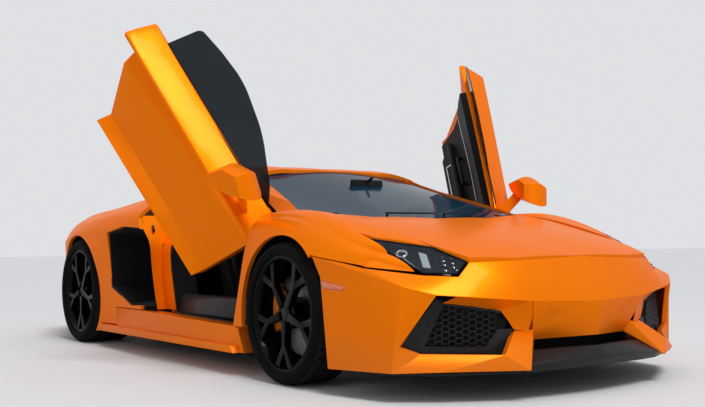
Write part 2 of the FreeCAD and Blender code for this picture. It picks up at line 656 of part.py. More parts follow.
def rear_bumper(frame):
    corners = {
        # top edge t, tail edge u, side s, bumper edge v, foot w
        "t0": ((-2310, 0, 832), (2, 0, -22)), "t1": ((-2310, 480, 830), (2, 0, -22)),
        "t2": ((-2298, 680, 824), (4, -6, -20)),
        "u0": ((-2374, 0, 790), (20, 0, -6)), "u1": ((-2372, 480, 788), (20, 0, -6)),
        "u2": ((-2350, 680, 768), (16, -10, -4)),
        "s1": ((-2300, 790, 700), (6, -20, 0)), "s2": ((-2300, 786, 540), (4, -22, 0)),
        "s3": ((-2300, 772, 330), (4, -22, 0)),
        "v0": ((-2366, 0, 560), (22, 0, 0)), "v1": ((-2364, 480, 560), (22, 0, 0)),
        "v2": ((-2342, 700, 570), (18, -10, 0)),
        "w0": ((-2346, 0, 330), (22, 0, 4)), "w1": ((-2344, 480, 330), (22, 0, 4)),
        "w2": ((-2326, 700, 320), (18, -10, 4)),
    }
    faces = [
        ("t0", "t1", "u1", "u0"), ("t1", "t2", "u2", "u1"), ("t2", "s1", "u2"), ("u2", "s1", "s2", "v2"),
        ("v0", "v1", "w1", "w0"), ("v1", "v2", "w2", "w1"), ("v2", "s2", "s3", "w2"),
    ]
    panel = mirrored_panel(corners, faces)
    lug = box(-2352, -2280, 340, 370, 500, 530)
    lug = lug.cut(frame)
    panel = panel.fuse([largest(lug), mirror_y(largest(lug))])
    return panel.cut(front_prism(exhaust_outline(8), -2500, -2200))


def rear_meshes(frame):
    """The black panel behind the tail lamps, carried by the cross beam."""
    panel = mirrored_panel({
        "a0": ((-2338, 0, 590), (12, 0, 0)), "a1": ((-2336, 480, 590), (12, 0, 0)),
        "a2": ((-2310, 690, 600), (12, 0, 0)), "b0": ((-2338, 0, 770), (12, 0, 0)),
        "b1": ((-2336, 480, 766), (12, 0, 0)), "b2": ((-2314, 664, 746), (12, 0, 0)),
    }, [("a0", "b0", "b1", "a1"), ("a1", "b1", "b2", "a2")])
    leg = box(-2330, -2240, 180, 220, 500, 600)
    leg = leg.cut(frame)
    outer = max(leg.Solids, key=lambda solid: -solid.CenterOfMass.x)
    return panel.fuse([outer, mirror_y(outer)])


def tail_lamps(mesh, tail):
    """Three arms to each lamp, standing on the black panel."""
    centre = V(-2346, 560, 685)
    arms = []
    for end in (V(-2356, 420, 730), V(-2356, 430, 640), V(-2332, 680, 690)):
        arms.append(bar(centre, end, 16, 34))
    lamp = arms[0].fuse(arms[1:])
    pad = box(-2345, -2315, 535, 575, 670, 700)
    return both_sides(largest(lamp.fuse(pad).cut(mesh).cut(tail)))


def diffuser(frame):
    plate = side_prism([(-1901, 112), (-1901, 98), (-2320, 250), (-2320, 264)], -700, 700)
    floor = box(-1901, -1860, -559, 559, FLOOR_Z, FLOOR_Z + 8)
    fins = [side_prism([(-1960, 112), (-2300, 130), (-2350, 210), (-2330, 268), (-2100, 172)], y - 5, y + 5)
            for y in (-540, -320, -110, 110, 320, 540)]
    lug = box(-2286, -2256, 340, 370, 230, 240 - SEAT_GAP)
    return largest(plate.fuse(fins + [floor, lug, mirror_y(lug)]).cut(frame))


def exhaust_outline(grow):
    """The tail pipe's six corners as (y, z), moved outwards by grow."""
    wide = 150 + grow * 1.2
    narrow = 110 + grow
    return [(-wide, 345), (-narrow, 286 - grow), (narrow, 286 - grow), (wide, 345), (narrow, 404 + grow),
            (-narrow, 404 + grow)]


def exhaust():
    outer = front_prism(exhaust_outline(0), -2376, -2200)
    inner = front_prism(exhaust_outline(-8), -2377, -2216)
    hanger = box(-2250 + SEAT_GAP, -2200, -20, 20, 390, 540)
    return outer.fuse(hanger).cut(inner)


def rear_wing():
    x, z = WING_HINGE
    section = [(-2164, 859), (-2240, 850), (-2352, 839), (-2378, 843), (-2352, 853), (-2240, 866), (-2164, 872)]
    wing = side_prism(section, -610, 610)
    for y0, y1 in ((412, 424), (-424, -412)):
        wing = wing.fuse(side_prism([(x - 12, z - 12), (x + 12, z - 12), (x + 12, 856), (x - 12, 856)], y0, y1))
    pin_room = hinge_pin(WING_HINGE, -600, 600, LID_PIN_R + PIN_CLEARANCE)
    return wing.cut(pin_room)


def quarter_glass(roof_shape, quarter_shape):
    """The dark panes between the roof's edge and the shoulders, behind the doors."""
    stations = []
    for x, low, high in ((-345, 972, 1050), (-690, 984, 1026)):
        stations.append([V(x, 600, low), V(x, 648, low), V(x, 636, high), V(x, 600, high + 10)])
    pane = polygon_loft(stations)
    return both_sides(largest(pane.cut(roof_shape).cut(quarter_shape)))


def arm(inner_front, inner_rear, outer, height=22):
    return bar(inner_front, outer, 34, height).fuse(bar(inner_rear, outer, 34, height))


def front_suspension():
    parts = []
    x = FRONT_AXLE_X
    inner = BOOT_WALL_Y + 4
    for z in (225, 440):
        outer = V(x, KINGPIN_Y - 18, z)
        link = arm(V(x - 150, inner, z), V(x + 150, inner, z), outer)
        link = link.fuse(cylinder(26, V(x, KINGPIN_Y, z - 11), V(x, KINGPIN_Y, z + 11)))
        link = link.cut(cylinder(KINGPIN_R + PIN_CLEARANCE, V(x, KINGPIN_Y, z - 20), V(x, KINGPIN_Y, z + 20)))
        link = link.cut(box(x - 400, x + 400, 400, BOOT_WALL_Y + SEAT_GAP, z - 40, z + 40))
        pads = box(x - 175, x + 175, BOOT_WALL_Y + SEAT_GAP, BOOT_WALL_Y + 12, z - 11, z + 11)
        parts.append(link.fuse(pads))
    return both_sides(Part.makeCompound(parts))


def rear_suspension():
    y = REAR_TRACK / 2
    x = REAR_AXLE_X
    inner = RAIL_Y + SEAT_GAP
    upright = box(x - 60, x + 60, y - 205, y - 165, 200, 520)
    axle = cylinder(BORE_R, V(x, inner, REAR_TYRE_R), V(x, y + 40, REAR_TYRE_R))
    caliper_lug = box(x + 30, x + 200, y - 190, y - 62 - SEAT_GAP, REAR_TYRE_R - 15, REAR_TYRE_R + 15)
    parts = [upright, axle, caliper_lug]
    for z in (270, 480):
        parts.append(arm(V(x - 170, inner + 4, z), V(x + 170, inner + 4, z), V(x, y - 205, z)))
        parts.append(box(x - 195, x + 195, inner, inner + 12, z - 11, z + 11))
    half = parts[0].fuse(parts[1:])
    half = half.cut(box(x - 400, x + 400, 0, inner, 0, 800))
    return both_sides(half)


def knuckle(side):
    y = FRONT_TRACK / 2
    x = FRONT_AXLE_X
    post = box(x - 35, x + 35, KINGPIN_Y - 14, KINGPIN_Y + 12, 242, 423)
    pin = cylinder(KINGPIN_R, V(x, KINGPIN_Y, 212), V(x, KINGPIN_Y, 453))
    spindle = cylinder(BORE_R, V(x, KINGPIN_Y, FRONT_TYRE_R), V(x, y + 40, FRONT_TYRE_R))
    caliper_lug = box(x - 200, x - 30, KINGPIN_Y - 2, y - 62 - SEAT_GAP, FRONT_TYRE_R - 15, FRONT_TYRE_R + 15)
    shape = post.fuse([pin, spindle, caliper_lug])
    return shape if side > 0 else mirror_y(shape)


def caliper_shape(x, z, disc_r, disc_y, angle):
    """A bridge over the disc's edge, with an air gap each side of the disc."""
    inner_r = disc_r - 62
    outer_r = disc_r + 26
    half_t = DISC_T / 2 + BRAKE_AIR + 18
    body = ring(inner_r, outer_r, V(x, disc_y - half_t, z), V(x, disc_y + half_t, z))
    slot = cylinder(disc_r + BRAKE_AIR, V(x, disc_y - DISC_T / 2 - BRAKE_AIR, z), V(x, disc_y + DISC_T / 2 + BRAKE_AIR, z))
    body = body.cut(slot)
    a0 = math.radians(angle - 32)
    a1 = math.radians(angle + 32)
    reach = outer_r * 1.6
    wedge = side_prism([
        (x, z),
        (x + reach * math.cos(a0), z + reach * math.sin(a0)),
        (x + reach * math.cos((a0 + a1) / 2), z + reach * math.sin((a0 + a1) / 2)),
        (x + reach * math.cos(a1), z + reach * math.sin(a1)),
    ], disc_y - half_t - 1, disc_y + half_t + 1)
    return body.common(wedge)


def front_caliper(side):
    shape = caliper_shape(FRONT_AXLE_X, FRONT_TYRE_R, FRONT_DISC_R, FRONT_TRACK / 2 - 20, 175)
    return shape if side > 0 else mirror_y(shape)


def rear_calipers():
    return both_sides(caliper_shape(REAR_AXLE_X, REAR_TYRE_R, REAR_DISC_R, REAR_TRACK / 2 - 20, 5))


def tyre(radius, width, rim_r, centre):
    half = width / 2
    profile = [
        (rim_r, -half + 16), (rim_r + 14, -half + 4), (radius - 34, -half), (radius - 10, -half + 14),
        (radius, -half + 40), (radius, half - 40), (radius - 10, half - 14), (radius - 34, half),
        (rim_r + 14, half - 4), (rim_r, half - 16),
    ]
    return turned(profile, centre)


def rim(width, rim_r, centre, disc_y):
    half = width / 2 - 17
    barrel = turned([
        (rim_r - 0.3, -half), (rim_r - 0.3, half), (rim_r - 14, half), (rim_r - 30, half - 40),
        (rim_r - 30, -half + 20), (rim_r - 14, -half),
    ], centre)
    hub = cylinder(HUB_R, centre + V(0, disc_y + DISC_T / 2 + SEAT_GAP, 0), centre + V(0, half - 30, 0))
    face_y = half - 12
    spoke = side_prism([
        (40, -20), (150, -13), (rim_r - 24, -76), (rim_r - 16, -40), (178, 0), (rim_r - 16, 40), (rim_r - 24, 76), (150, 13), (40, 20),
    ], face_y - 34, face_y)
    parts = [hub]
    for index in range(SPOKE_COUNT):
        turned_spoke = spoke.copy()
        turned_spoke.rotate(V(0, 0, 0), V(0, 1, 0), 360 / SPOKE_COUNT * index + 90)
        turned_spoke.translate(centre)
        parts.append(turned_spoke)
    shape = barrel.fuse(parts)
    bore = cylinder(BORE_R + BEARING_CLEARANCE, centre - V(0, half, 0), centre + V(0, 45, 0))
    return shape.cut(bore)


def disc(radius, centre, disc_y):
    middle = centre + V(0, disc_y, 0)
    return ring(BORE_R + BEARING_CLEARANCE, radius, middle - V(0, DISC_T / 2, 0), middle + V(0, DISC_T / 2, 0))


def open_door(shape, side):
    """Turn a closed left door piece to its open place, then mirror it for the right side."""
    opened = shape.copy()
    opened.rotate(HINGE, HINGE_DIR, -DOOR_OPEN)
    return opened if side > 0 else mirror_y(opened)


def hinge_axis_point(inboard):
    """The place on the left door's hinge line at a distance inboard of its named point."""
    return HINGE + HINGE_DIR * inboard


def door_shell():
    stations = [[V(x, y, z) for y, z in points] for x, points in DOOR_LINES]
    shell = polygon_loft(stations).common(door_prism())
    return largest(shell.cut(cylinder(HINGE_PIN_R + PIN_CLEARANCE, hinge_axis_point(75), hinge_axis_point(260))))


def door_trim(shell):
    """The inner lining of the door, let into the back of its shell."""
    stations = []
    for x, points in ((-200, ((866, 285), (870, 640), (775, 826), (735, 800), (812, 600), (832, 300))),
                      (760, ((884, 255), (872, 640), (790, 780), (745, 770), (822, 600), (842, 270)))):
        stations.append([V(x, y, z) for y, z in points])
    return largest(polygon_loft(stations).common(door_prism(-8)).cut([shell, door_post(8)]))


def door_glass(shell, trim):
    # x, z and y of the pane's outline, from the belt at its rear over the top to the belt at its front
    outline = [(-296, 832, 790), (-226, 1024, 672), (-36, 1042, 662), (180, 1048, 658), (482, 985, 694),
               (742, 872, 752), (850, 800, 794)]
    corners = {}
    for index, (x, z, y) in enumerate(outline):
        corners[str(index)] = ((x, y, z), (0, -5, -3))
    pane = thick_panel(corners, [("0", "1", "2", "3", "4", "5", "6")])
    return largest(pane.cut(shell).cut(trim))


def mirror_housing(shell):
    outline = [(-135, -85), (-75, 50), (28, 109), (153, 59), (40, -40), (-65, -83)]
    stations = []
    for y, scale in ((913, 0.66), (983, 1.0), (1068, 0.78)):
        stations.append([V(706 + x * scale, y, 905 + z * scale) for x, z in outline])
    head = polygon_loft(stations)
    stalk = bar(V(790, 870, 765), V(694, 965, 870), 60, 16)
    return largest(head.fuse(stalk).cut(shell))


def door_hinges(tub_shape, roof_shape):
    """The pins that the doors swing on, and their arms from the firewall's corners."""
    pin = cylinder(HINGE_PIN_R, hinge_axis_point(85), hinge_axis_point(218))
    reach = bar(hinge_axis_point(206), V(985, 712, 735), 22, 22)
    return both_sides(largest(pin.fuse(reach).cut(tub_shape).cut(roof_shape)))


def seats():
    base = polygon_loft([
        [V(450, 180, 200), V(450, 560, 200), V(450, 560, 330), V(450, 180, 330)],
        [V(-60, 180, 170), V(-60, 560, 170), V(-60, 540, 270), V(-60, 200, 270)],
    ])
    back = side_prism([(-50, 250), (-330, 900), (-250, 930), (70, 300)], 190, 550)
    rail = box(-20, 400, 220, 520, FLOOR_Z + 30 + SEAT_GAP, 215)
    return both_sides(base.fuse([back, rail]))


def column_point(along):
    """A place on the steering column's axis, in front of the wheel's middle."""
    tilt = math.radians(WHEEL_TILT)
    return WHEEL_CENTRE + V(math.cos(tilt), 0, -math.sin(tilt)) * along


def dashboard():
    outline = [(1060 - SEAT_GAP, 734), (880, 762), (800, 762), (760, 720), (790, 560), (1060 - SEAT_GAP, 560)]
    board = side_prism(outline, -499, 499)
    column = cylinder(COLUMN_R, column_point(30), column_point(260))
    shroud = cylinder(COLUMN_R + 22, column_point(70), column_point(260))
    console = side_prism([(-200, 330.3), (880, 330.3), (880, 560), (790, 560), (620, 400), (-200, 380)], -105, 105)
    return board.fuse([column, shroud, console])


def steering_wheel():
    rim_shape = Part.makeTorus(WHEEL_RIM_R, WHEEL_GRIP_R)
    boss = Part.makeCylinder(52, 50, V(0, 0, -55))
    shape = rim_shape.fuse([boss, box(-WHEEL_RIM_R, WHEEL_RIM_R, -22, 22, -24, -8),
                            box(-20, 20, -WHEEL_RIM_R, 0, -24, -8)])
    shape = shape.cut(Part.makeCylinder(COLUMN_R + PIN_CLEARANCE, 36, V(0, 0, -56)))
    shape.rotate(V(0, 0, 0), V(0, 1, 0), -90 + WHEEL_TILT)
    shape.translate(WHEEL_CENTRE)
    return shape


def wipers(glass):
    parts = []
    for x, y, end in ((1256, 60, V(1188, 400, 822)), (1226, -300, V(1258, -10, 808))):
        arm_shape = cylinder(7, V(x, y, 745 + SEAT_GAP), V(x, y, 812)).fuse(bar(V(x, y, 808), end, 14, 8))
        parts.append(largest(arm_shape.cut(glass)))
    return Part.makeCompound(parts)


def wheel_sets():
    """Tyre, rim and disc of each wheel, by corner name."""
    sets = {}
    for end, x, track, radius, width, rim_r, disc_r in (
        ("front", FRONT_AXLE_X, FRONT_TRACK, FRONT_TYRE_R, FRONT_TYRE_W, FRONT_RIM_R, FRONT_DISC_R),
        ("rear", REAR_AXLE_X, REAR_TRACK, REAR_TYRE_R, REAR_TYRE_W, REAR_RIM_R, REAR_DISC_R),
    ):
        centre = V(x, track / 2, radius)
        pieces = {
            "tyre": tyre(radius, width, rim_r, centre),
            "rim": rim(width, rim_r, centre, -20),
            "disc": disc(disc_r, centre, -20),
        }
        for kind, shape in pieces.items():
            sets[kind + "_" + end + "_left"] = shape
            sets[kind + "_" + end + "_right"] = mirror_y(shape)
    return sets


def build():
    top = roof()
    nose = bumper_front()
    cell = tub(top)
    wings = fenders()
    haunches = quarters()
    sides = sills()
    frame = rear_frame()
    tail = rear_bumper(frame)
    mesh = rear_meshes(frame)
    screen = windscreen(top)
    pieces = {
        "tub": cell,
        "rear_frame": frame,
        "underbody": underbody(),
        "fenders": wings,
        "hood": hood(),
        "roof": top,
        "windscreen": screen,
        "cowl": cowl(cell),
        "front_bumper": nose,
        "front_splitter": front_splitter(nose),
        "front_meshes": front_meshes(),
        "headlamps": headlamps(wings),
        "rear_quarters": haunches,
        "quarter_glass": quarter_glass(top, haunches),
        "sills": sides,
        "side_ducts": side_ducts(sides, haunches),
        "arch_liners": arch_liners([wings, haunches, nose]),
        "engine": engine(),
        "engine_cover": engine_cover(),
        "lid_hinges": lid_hinges(),
        "door_hinges": door_hinges(cell, top),
        "rear_bumper": tail,
        "rear_meshes": mesh,
        "tail_lamps": tail_lamps(mesh, tail),
        "diffuser": diffuser(frame),
        "exhaust": exhaust(),
        "rear_wing": rear_wing(),
        "front_suspension": front_suspension(),
        "rear_suspension": rear_suspension(),
        "rear_calipers": rear_calipers(),
        "seats": seats(),
        "dashboard": dashboard(),
        "steering_wheel": steering_wheel(),
        "wipers": wipers(screen),
    }
    shell = door_shell()
    trim = door_trim(shell)
    for name, side in (("left", 1), ("right", -1)):
        pieces["knuckle_" + name] = knuckle(side)
        pieces["caliper_front_" + name] = front_caliper(side)
        pieces["door_shell_" + name] = open_door(shell, side)
        pieces["door_trim_" + name] = open_door(trim, side)
        pieces["door_glass_" + name] = open_door(door_glass(shell, trim), side)
        pieces["mirror_" + name] = open_door(mirror_housing(shell), side)
    pieces.update(wheel_sets())
    return pieces


os.makedirs("parts", exist_ok=True)
for node, solid in build().items():
    export(node, solid)
    print(node, "solids", len(solid.Solids), "valid", solid.isValid(), "litres", round(solid.Volume / 1e6, 2))
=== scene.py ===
# %% [markdown]
# # A low mid-engined supercar with its scissor doors raised
#
# The car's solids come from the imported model, in metres, with the nose towards +X and the car's left
# towards +Y. This lesson dresses them. Each part gets a finish, and the parts that plain solids can't
# show, such as tread, mesh, lamps and padded seats, are modelled here.

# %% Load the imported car
import json
import math
import bmesh
import bpy
from mathutils import Matrix, Vector


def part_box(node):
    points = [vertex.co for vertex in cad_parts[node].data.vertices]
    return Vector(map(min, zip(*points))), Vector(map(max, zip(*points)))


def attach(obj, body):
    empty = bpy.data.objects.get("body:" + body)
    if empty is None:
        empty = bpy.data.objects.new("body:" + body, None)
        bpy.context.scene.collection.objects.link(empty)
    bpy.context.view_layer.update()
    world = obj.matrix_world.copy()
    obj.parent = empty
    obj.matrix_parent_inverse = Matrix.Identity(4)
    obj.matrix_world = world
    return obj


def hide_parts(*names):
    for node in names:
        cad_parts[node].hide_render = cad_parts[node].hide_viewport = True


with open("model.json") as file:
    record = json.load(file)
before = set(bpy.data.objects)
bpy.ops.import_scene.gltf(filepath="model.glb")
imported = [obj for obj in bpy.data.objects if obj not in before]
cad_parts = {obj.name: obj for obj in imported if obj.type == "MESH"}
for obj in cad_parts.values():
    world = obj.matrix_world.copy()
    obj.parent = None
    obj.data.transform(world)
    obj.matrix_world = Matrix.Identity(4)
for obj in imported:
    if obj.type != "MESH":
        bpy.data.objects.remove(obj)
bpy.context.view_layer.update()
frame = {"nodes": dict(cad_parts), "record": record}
nodes = frame["nodes"]
print("solids loaded:", len(nodes))

# %% [markdown]
# ## Camera
#
# A photograph can be matched by placing a camera by hand, or by solving for it from points whose
# places on the car are known. The wheels, the lamp and the doors were used here to solve for the place,
# the heading and the lens. The camera's axes are built from heading, pitch and roll.

# %% Set the camera
def in_scene(name, data):
    """A new object with this data, put in the scene."""
    made = bpy.data.objects.new(name, data)
    bpy.context.scene.collection.objects.link(made)
    return made


CAMERA_PLACE = Vector((5.03825, -3.21222, 0.6373))
HEADING, PITCH, ROLL = 2.5261, 0.0462, -0.0127
FOCAL_PIXELS, IMAGE_WIDTH, SENSOR_MM = 934.52, 705, 36

forward = Vector((math.cos(HEADING) * math.cos(PITCH), math.sin(HEADING) * math.cos(PITCH), math.sin(PITCH)))
level_right = forward.cross(Vector((0, 0, 1))).normalized()
level_up = level_right.cross(forward)
right = level_right * math.cos(ROLL) + level_up * math.sin(ROLL)
up = level_up * math.cos(ROLL) - level_right * math.sin(ROLL)

camera_data = bpy.data.cameras.new("camera")
camera_data.sensor_width = SENSOR_MM
camera_data.lens = SENSOR_MM * FOCAL_PIXELS / IMAGE_WIDTH
camera_data.clip_end = 100
camera = in_scene("camera", camera_data)
camera.matrix_world = Matrix((right, up, -forward)).transposed().to_4x4()
camera.matrix_world.translation = CAMERA_PLACE
bpy.context.scene.camera = camera
print("camera lens in mm:", round(camera_data.lens, 1))

# %% [markdown]
# ## Sums on sockets
#
# A pattern such as a weave is a formula. Written as nodes one by one it is hard to read, so a small
# class wraps a socket and lets Python's own signs add the Math nodes. Colours and vectors go through
# their own nodes, because Math turns them grey.

# %% A socket that Python can do sums with
class Signal:
    def __init__(self, tree, socket):
        self.tree = tree
        self.socket = socket

    def sum_with(self, operation, *values):
        node = self.tree.nodes.new("ShaderNodeMath")
        node.operation = operation
        for slot, value in zip(node.inputs, values):
            if isinstance(value, Signal):
                self.tree.links.new(value.socket, slot)
            else:
                slot.default_value = value
        return Signal(self.tree, node.outputs[0])

    def __add__(self, other):
        return self.sum_with("ADD", self, other)

    __radd__ = __add__

    def __mul__(self, other):
        return self.sum_with("MULTIPLY", self, other)

    def __sub__(self, other):
        return self.sum_with("SUBTRACT", self, other)

    def __rsub__(self, other):
        return self.sum_with("SUBTRACT", other, self)

    def __truediv__(self, other):
        return self.sum_with("DIVIDE", self, other)

    def __mod__(self, other):
        return self.sum_with("FLOORED_MODULO", self, other)

    def __pow__(self, other):
        return self.sum_with("POWER", self, other)

    def __gt__(self, other):
        return self.sum_with("GREATER_THAN", self, other)

    def __lt__(self, other):
        return self.sum_with("LESS_THAN", self, other)

    def floor(self):
        return self.sum_with("FLOOR", self)

    def sine(self):
        return self.sum_with("SINE", self)

    def size(self):
        return self.sum_with("ABSOLUTE", self)

    def most(self, other):
        return self.sum_with("MAXIMUM", self, other)

    def least(self, other):
        return self.sum_with("MINIMUM", self, other)

    def angle_to(self, other):
        return self.sum_with("ARCTAN2", self, other)


print("socket sums ready")

# %% [markdown]
# ## One way to make a node
#
# Every finish is a Principled surface with a few driven inputs. One method makes any node: it takes the
# type and the values or links of its sockets. Colours are given as red, green and blue.

# %% A finish and its node maker
class Finish:
    def __init__(self, name, slot, **surface):
        self.slot = slot
        self.material = bpy.data.materials.new(name)
        self.material.use_nodes = True
        self.tree = self.material.node_tree
        self.surface = self.tree.nodes["Principled BSDF"]
        for socket, value in surface.items():
            self.surface.inputs[socket.replace("_", " ")].default_value = value

    def node(self, kind, output=0, **values):
        made = self.tree.nodes.new("ShaderNode" + kind)
        for socket, value in values.items():
            self.feed(made.inputs[socket.replace("_", " ")], value)
        return Signal(self.tree, made.outputs[output])

    def feed(self, socket, value):
        if isinstance(value, Signal):
            self.tree.links.new(value.socket, socket)
        else:
            socket.default_value = value

    def drive(self, **values):
        for socket, value in values.items():
            self.feed(self.surface.inputs[socket.replace("_", " ")], value)

    def point(self):
        """Object coordinates, so that a pattern stays on its piece when the piece moves."""
        return self.node("TexCoord", output="Object")

    def place(self):
        """Object coordinates as three signals."""
        split = self.tree.nodes.new("ShaderNodeSeparateXYZ")
        self.tree.links.new(self.point().socket, split.inputs[0])
        return [Signal(self.tree, socket) for socket in split.outputs]

    def grain(self, scale, detail=3.0):
        """Noise in the piece's own space, from 0 to 1, with scale in grains to the metre."""
        return self.node("TexNoise", Vector=self.point(), Scale=scale, Detail=detail)

    def cells(self, scale, output="Distance"):
        return self.node("TexVoronoi", output=output, Vector=self.point(), Scale=scale)

    def blend(self, mask, first, second):
        """The first colour where the mask is 0 and the second where it is 1."""
        node = self.tree.nodes.new("ShaderNodeMix")
        node.data_type = "RGBA"
        colours = [socket for socket in node.inputs if socket.type == "RGBA"]
        self.feed(node.inputs[0], mask)
        for socket, value in zip(colours, (first, second)):
            self.feed(socket, value if isinstance(value, Signal) else (*value, 1.0))
        return Signal(self.tree, [socket for socket in node.outputs if socket.type == "RGBA"][0])

    def tint(self, mask, first, second):
        """Blend the base colour from the first to the second."""
        self.drive(Base_Color=self.blend(mask, first, second))

    def bumps(self, height, strength, distance):
        self.drive(Normal=self.node("Bump", Height=height, Strength=strength, Distance=distance))


print("finish maker ready")

# %% [markdown]
# ## Orange paint
#
# Real pearl paint is a coloured base with fine flakes under a clear coat that is as smooth as glass. The
# flakes show as a faint sparkle close up, the clear coat has a very faint orange peel, and dust settles
# low on the body. The base colour carries the flakes and the dust, and the coat stays constant.

# %% Paint
DUST_TOP, MOST_DUST = 0.30, 0.16

paint = Finish("paint_orange", "paint", Metallic=0.34, Coat_Weight=0.05, Coat_Roughness=0.03,
               Specular_IOR_Level=0.05, Specular_Tint=(1.0, 0.40, 0.02, 1))
flake_light = paint.node("SeparateColor", Color=paint.cells(900.0, "Color"))
tone = paint.blend(flake_light, (0.90, 0.175, 0.0008), (0.97, 0.225, 0.0015))
dust = (DUST_TOP - paint.place()[2]).most(0.0) * paint.grain(14.0)
paint.tint(dust.least(MOST_DUST), tone, (0.36, 0.24, 0.15))
paint.drive(Roughness=0.28 + flake_light * 0.12)
paint.bumps(paint.grain(260.0, 1.0), 0.02, 0.0004)
print("paint made")

# %% [markdown]
# ## Carbon, plastic, rubber and trim
#
# Carbon cloth is a twill: tows about four millimetres wide pass over two and under two, so the weave steps
# sideways from row to row. Rows and columns are counted with floor, and their sum modulo four tells which
# tow is on top. Plastic, rubber and leather get their grain from noise and cells at true scale.

# %% Carbon
TOWS_TO_THE_METRE = 260.0
SLOPE_SHARE = 0.6  # how much a slope adds to both counts, so that upright faces show the weave too

carbon = Finish("carbon_twill", "carbon", Roughness=0.32, Coat_Weight=0.1, Coat_Roughness=0.05,
                Specular_IOR_Level=0.08)
along, across, upward = carbon.place()
column = (along + upward * SLOPE_SHARE) * TOWS_TO_THE_METRE
row = (across + upward * SLOPE_SHARE) * TOWS_TO_THE_METRE
over = ((column.floor() + row.floor()) % 4.0) < 1.5
carbon.tint(over, (0.002, 0.002, 0.0024), (0.03, 0.029, 0.03))
carbon.drive(Roughness=0.28 + over * 0.14)
carbon.bumps((column * math.pi).sine().size() * over + (row * math.pi).sine().size() * (1 - over), 0.25, 0.0004)
print("carbon made")

# %% Plastics
def grained_plastic(name, shade, rough):
    finish = Finish(name, "black_plastic", Roughness=rough, Specular_IOR_Level=0.16)
    wear = finish.grain(22.0, 4.0)
    light = tuple(min(1.0, part * 1.7 + 0.004) for part in shade)
    finish.tint(wear, shade, light)
    finish.drive(Roughness=rough - 0.08 + finish.grain(60.0) * 0.16)
    finish.bumps(finish.cells(1400.0), 0.22, 0.0003)
    return finish


satin_black = grained_plastic("plastic_satin_black", (0.005, 0.005, 0.0055), 0.42)
trim_grey = grained_plastic("plastic_trim_grey", (0.016, 0.016, 0.017), 0.36)
matt_black = grained_plastic("plastic_matt_black", (0.0028, 0.0028, 0.003), 0.7)
gloss_black = Finish("gloss_black", "rim_black", Roughness=0.3, Coat_Weight=0.1, Coat_Roughness=0.05,
                     Specular_IOR_Level=0.04)
gloss_black.tint(gloss_black.cells(1500.0), (0.0006, 0.0006, 0.0007), (0.0022, 0.0022, 0.0025))
gloss_black.bumps(gloss_black.grain(300.0, 1.0), 0.02, 0.0004)
print("plastics made")

# %% Metals
def metal(name, shade, rough, slot, grain_scale=90.0, bump=0.15):
    finish = Finish(name, slot, Metallic=1.0, Roughness=rough)
    mottle = finish.grain(grain_scale, 5.0)
    finish.tint(mottle, tuple(part * 0.7 for part in shade), shade)
    finish.drive(Roughness=rough - 0.08 + mottle * 0.18)
    finish.bumps(finish.grain(grain_scale * 8, 2.0), bump, 0.0004)
    return finish


cast_alloy = metal("cast_alloy", (0.42, 0.42, 0.44), 0.45, "alloy")
bright_metal = metal("bright_metal", (0.82, 0.82, 0.84), 0.14, "steel", 30.0, 0.02)
pipe_steel = Finish("heat_tinted_steel", "steel", Metallic=1.0, Roughness=0.24)
heat = ((pipe_steel.place()[0] + 2.376) * 7.0).most(0.0).least(1.0)
tinted = pipe_steel.blend(heat, (0.55, 0.53, 0.52), (0.23, 0.15, 0.28))
pipe_steel.tint(pipe_steel.grain(35.0), tinted, (0.50, 0.38, 0.22))
pipe_steel.bumps(pipe_steel.grain(500.0), 0.05, 0.0003)
print("metals made")

# %% Leather and suede
leather = Finish("leather_black", "leather", Roughness=0.5, Specular_IOR_Level=0.1)
leather.tint(leather.grain(18.0), (0.006, 0.006, 0.0065), (0.016, 0.0155, 0.016))
leather.drive(Roughness=0.42 + leather.grain(30.0) * 0.2)
leather.bumps(leather.cells(420.0) + leather.cells(1100.0) * 0.5, 0.35, 0.0008)

suede = Finish("suede_black", "leather", Roughness=0.92, Sheen_Weight=0.1, Specular_IOR_Level=0.06)
suede.tint(suede.grain(90.0, 6.0), (0.005, 0.005, 0.0056), (0.02, 0.02, 0.0215))
suede.bumps(suede.grain(1800.0, 2.0), 0.5, 0.0006)
print("leather and suede made")

# %% Glass
def tinted_glass(name, shade, alpha, slot):
    finish = Finish(name, slot, Roughness=0.02, Alpha=alpha, Specular_IOR_Level=0.06)
    smear = finish.grain(3.0, 3.0)
    finish.tint(smear, shade, tuple(part * 1.35 for part in shade))
    finish.drive(Roughness=0.015 + smear * 0.03)
    return finish


screen_glass = tinted_glass("windscreen_glass", (0.005, 0.027, 0.052), 0.84, "dark_glass")
side_glass = tinted_glass("side_glass", (0.003, 0.008, 0.012), 0.84, "dark_glass")
lamp_cover = tinted_glass("lamp_cover", (0.05, 0.06, 0.075), 0.22, "lamp_glass")
print("glass made")

# %% [markdown]
# ## Wheels' own finishes
#
# Rubber and discs are patterned round the axle, so the distance from the axle and the angle about it
# are worked out from Object coordinates, once for the front wheels and once for the rear. The callipers get plain
# paint with a fine grain.

# %% Round finishes
FRONT_AXLE, REAR_AXLE = (1.280, 0.3305), (-1.420, 0.355)
HUBS = {"front": (1280, 330.5), "rear": (-1420, 355)}  # the same two, in millimetres
HOLES_IN_A_ROW, HOLE_ROWS_TO_THE_METRE = 28, 55.0
HOLE_RADIUS, HAT_RADIUS = 0.0032, 0.115


def round_place(finish, axle):
    """Distance from the axle and angle about it."""
    x, _, z = finish.place()
    x = x - axle[0]
    z = z - axle[1]
    return (x * x + z * z) ** 0.5, z.angle_to(x)


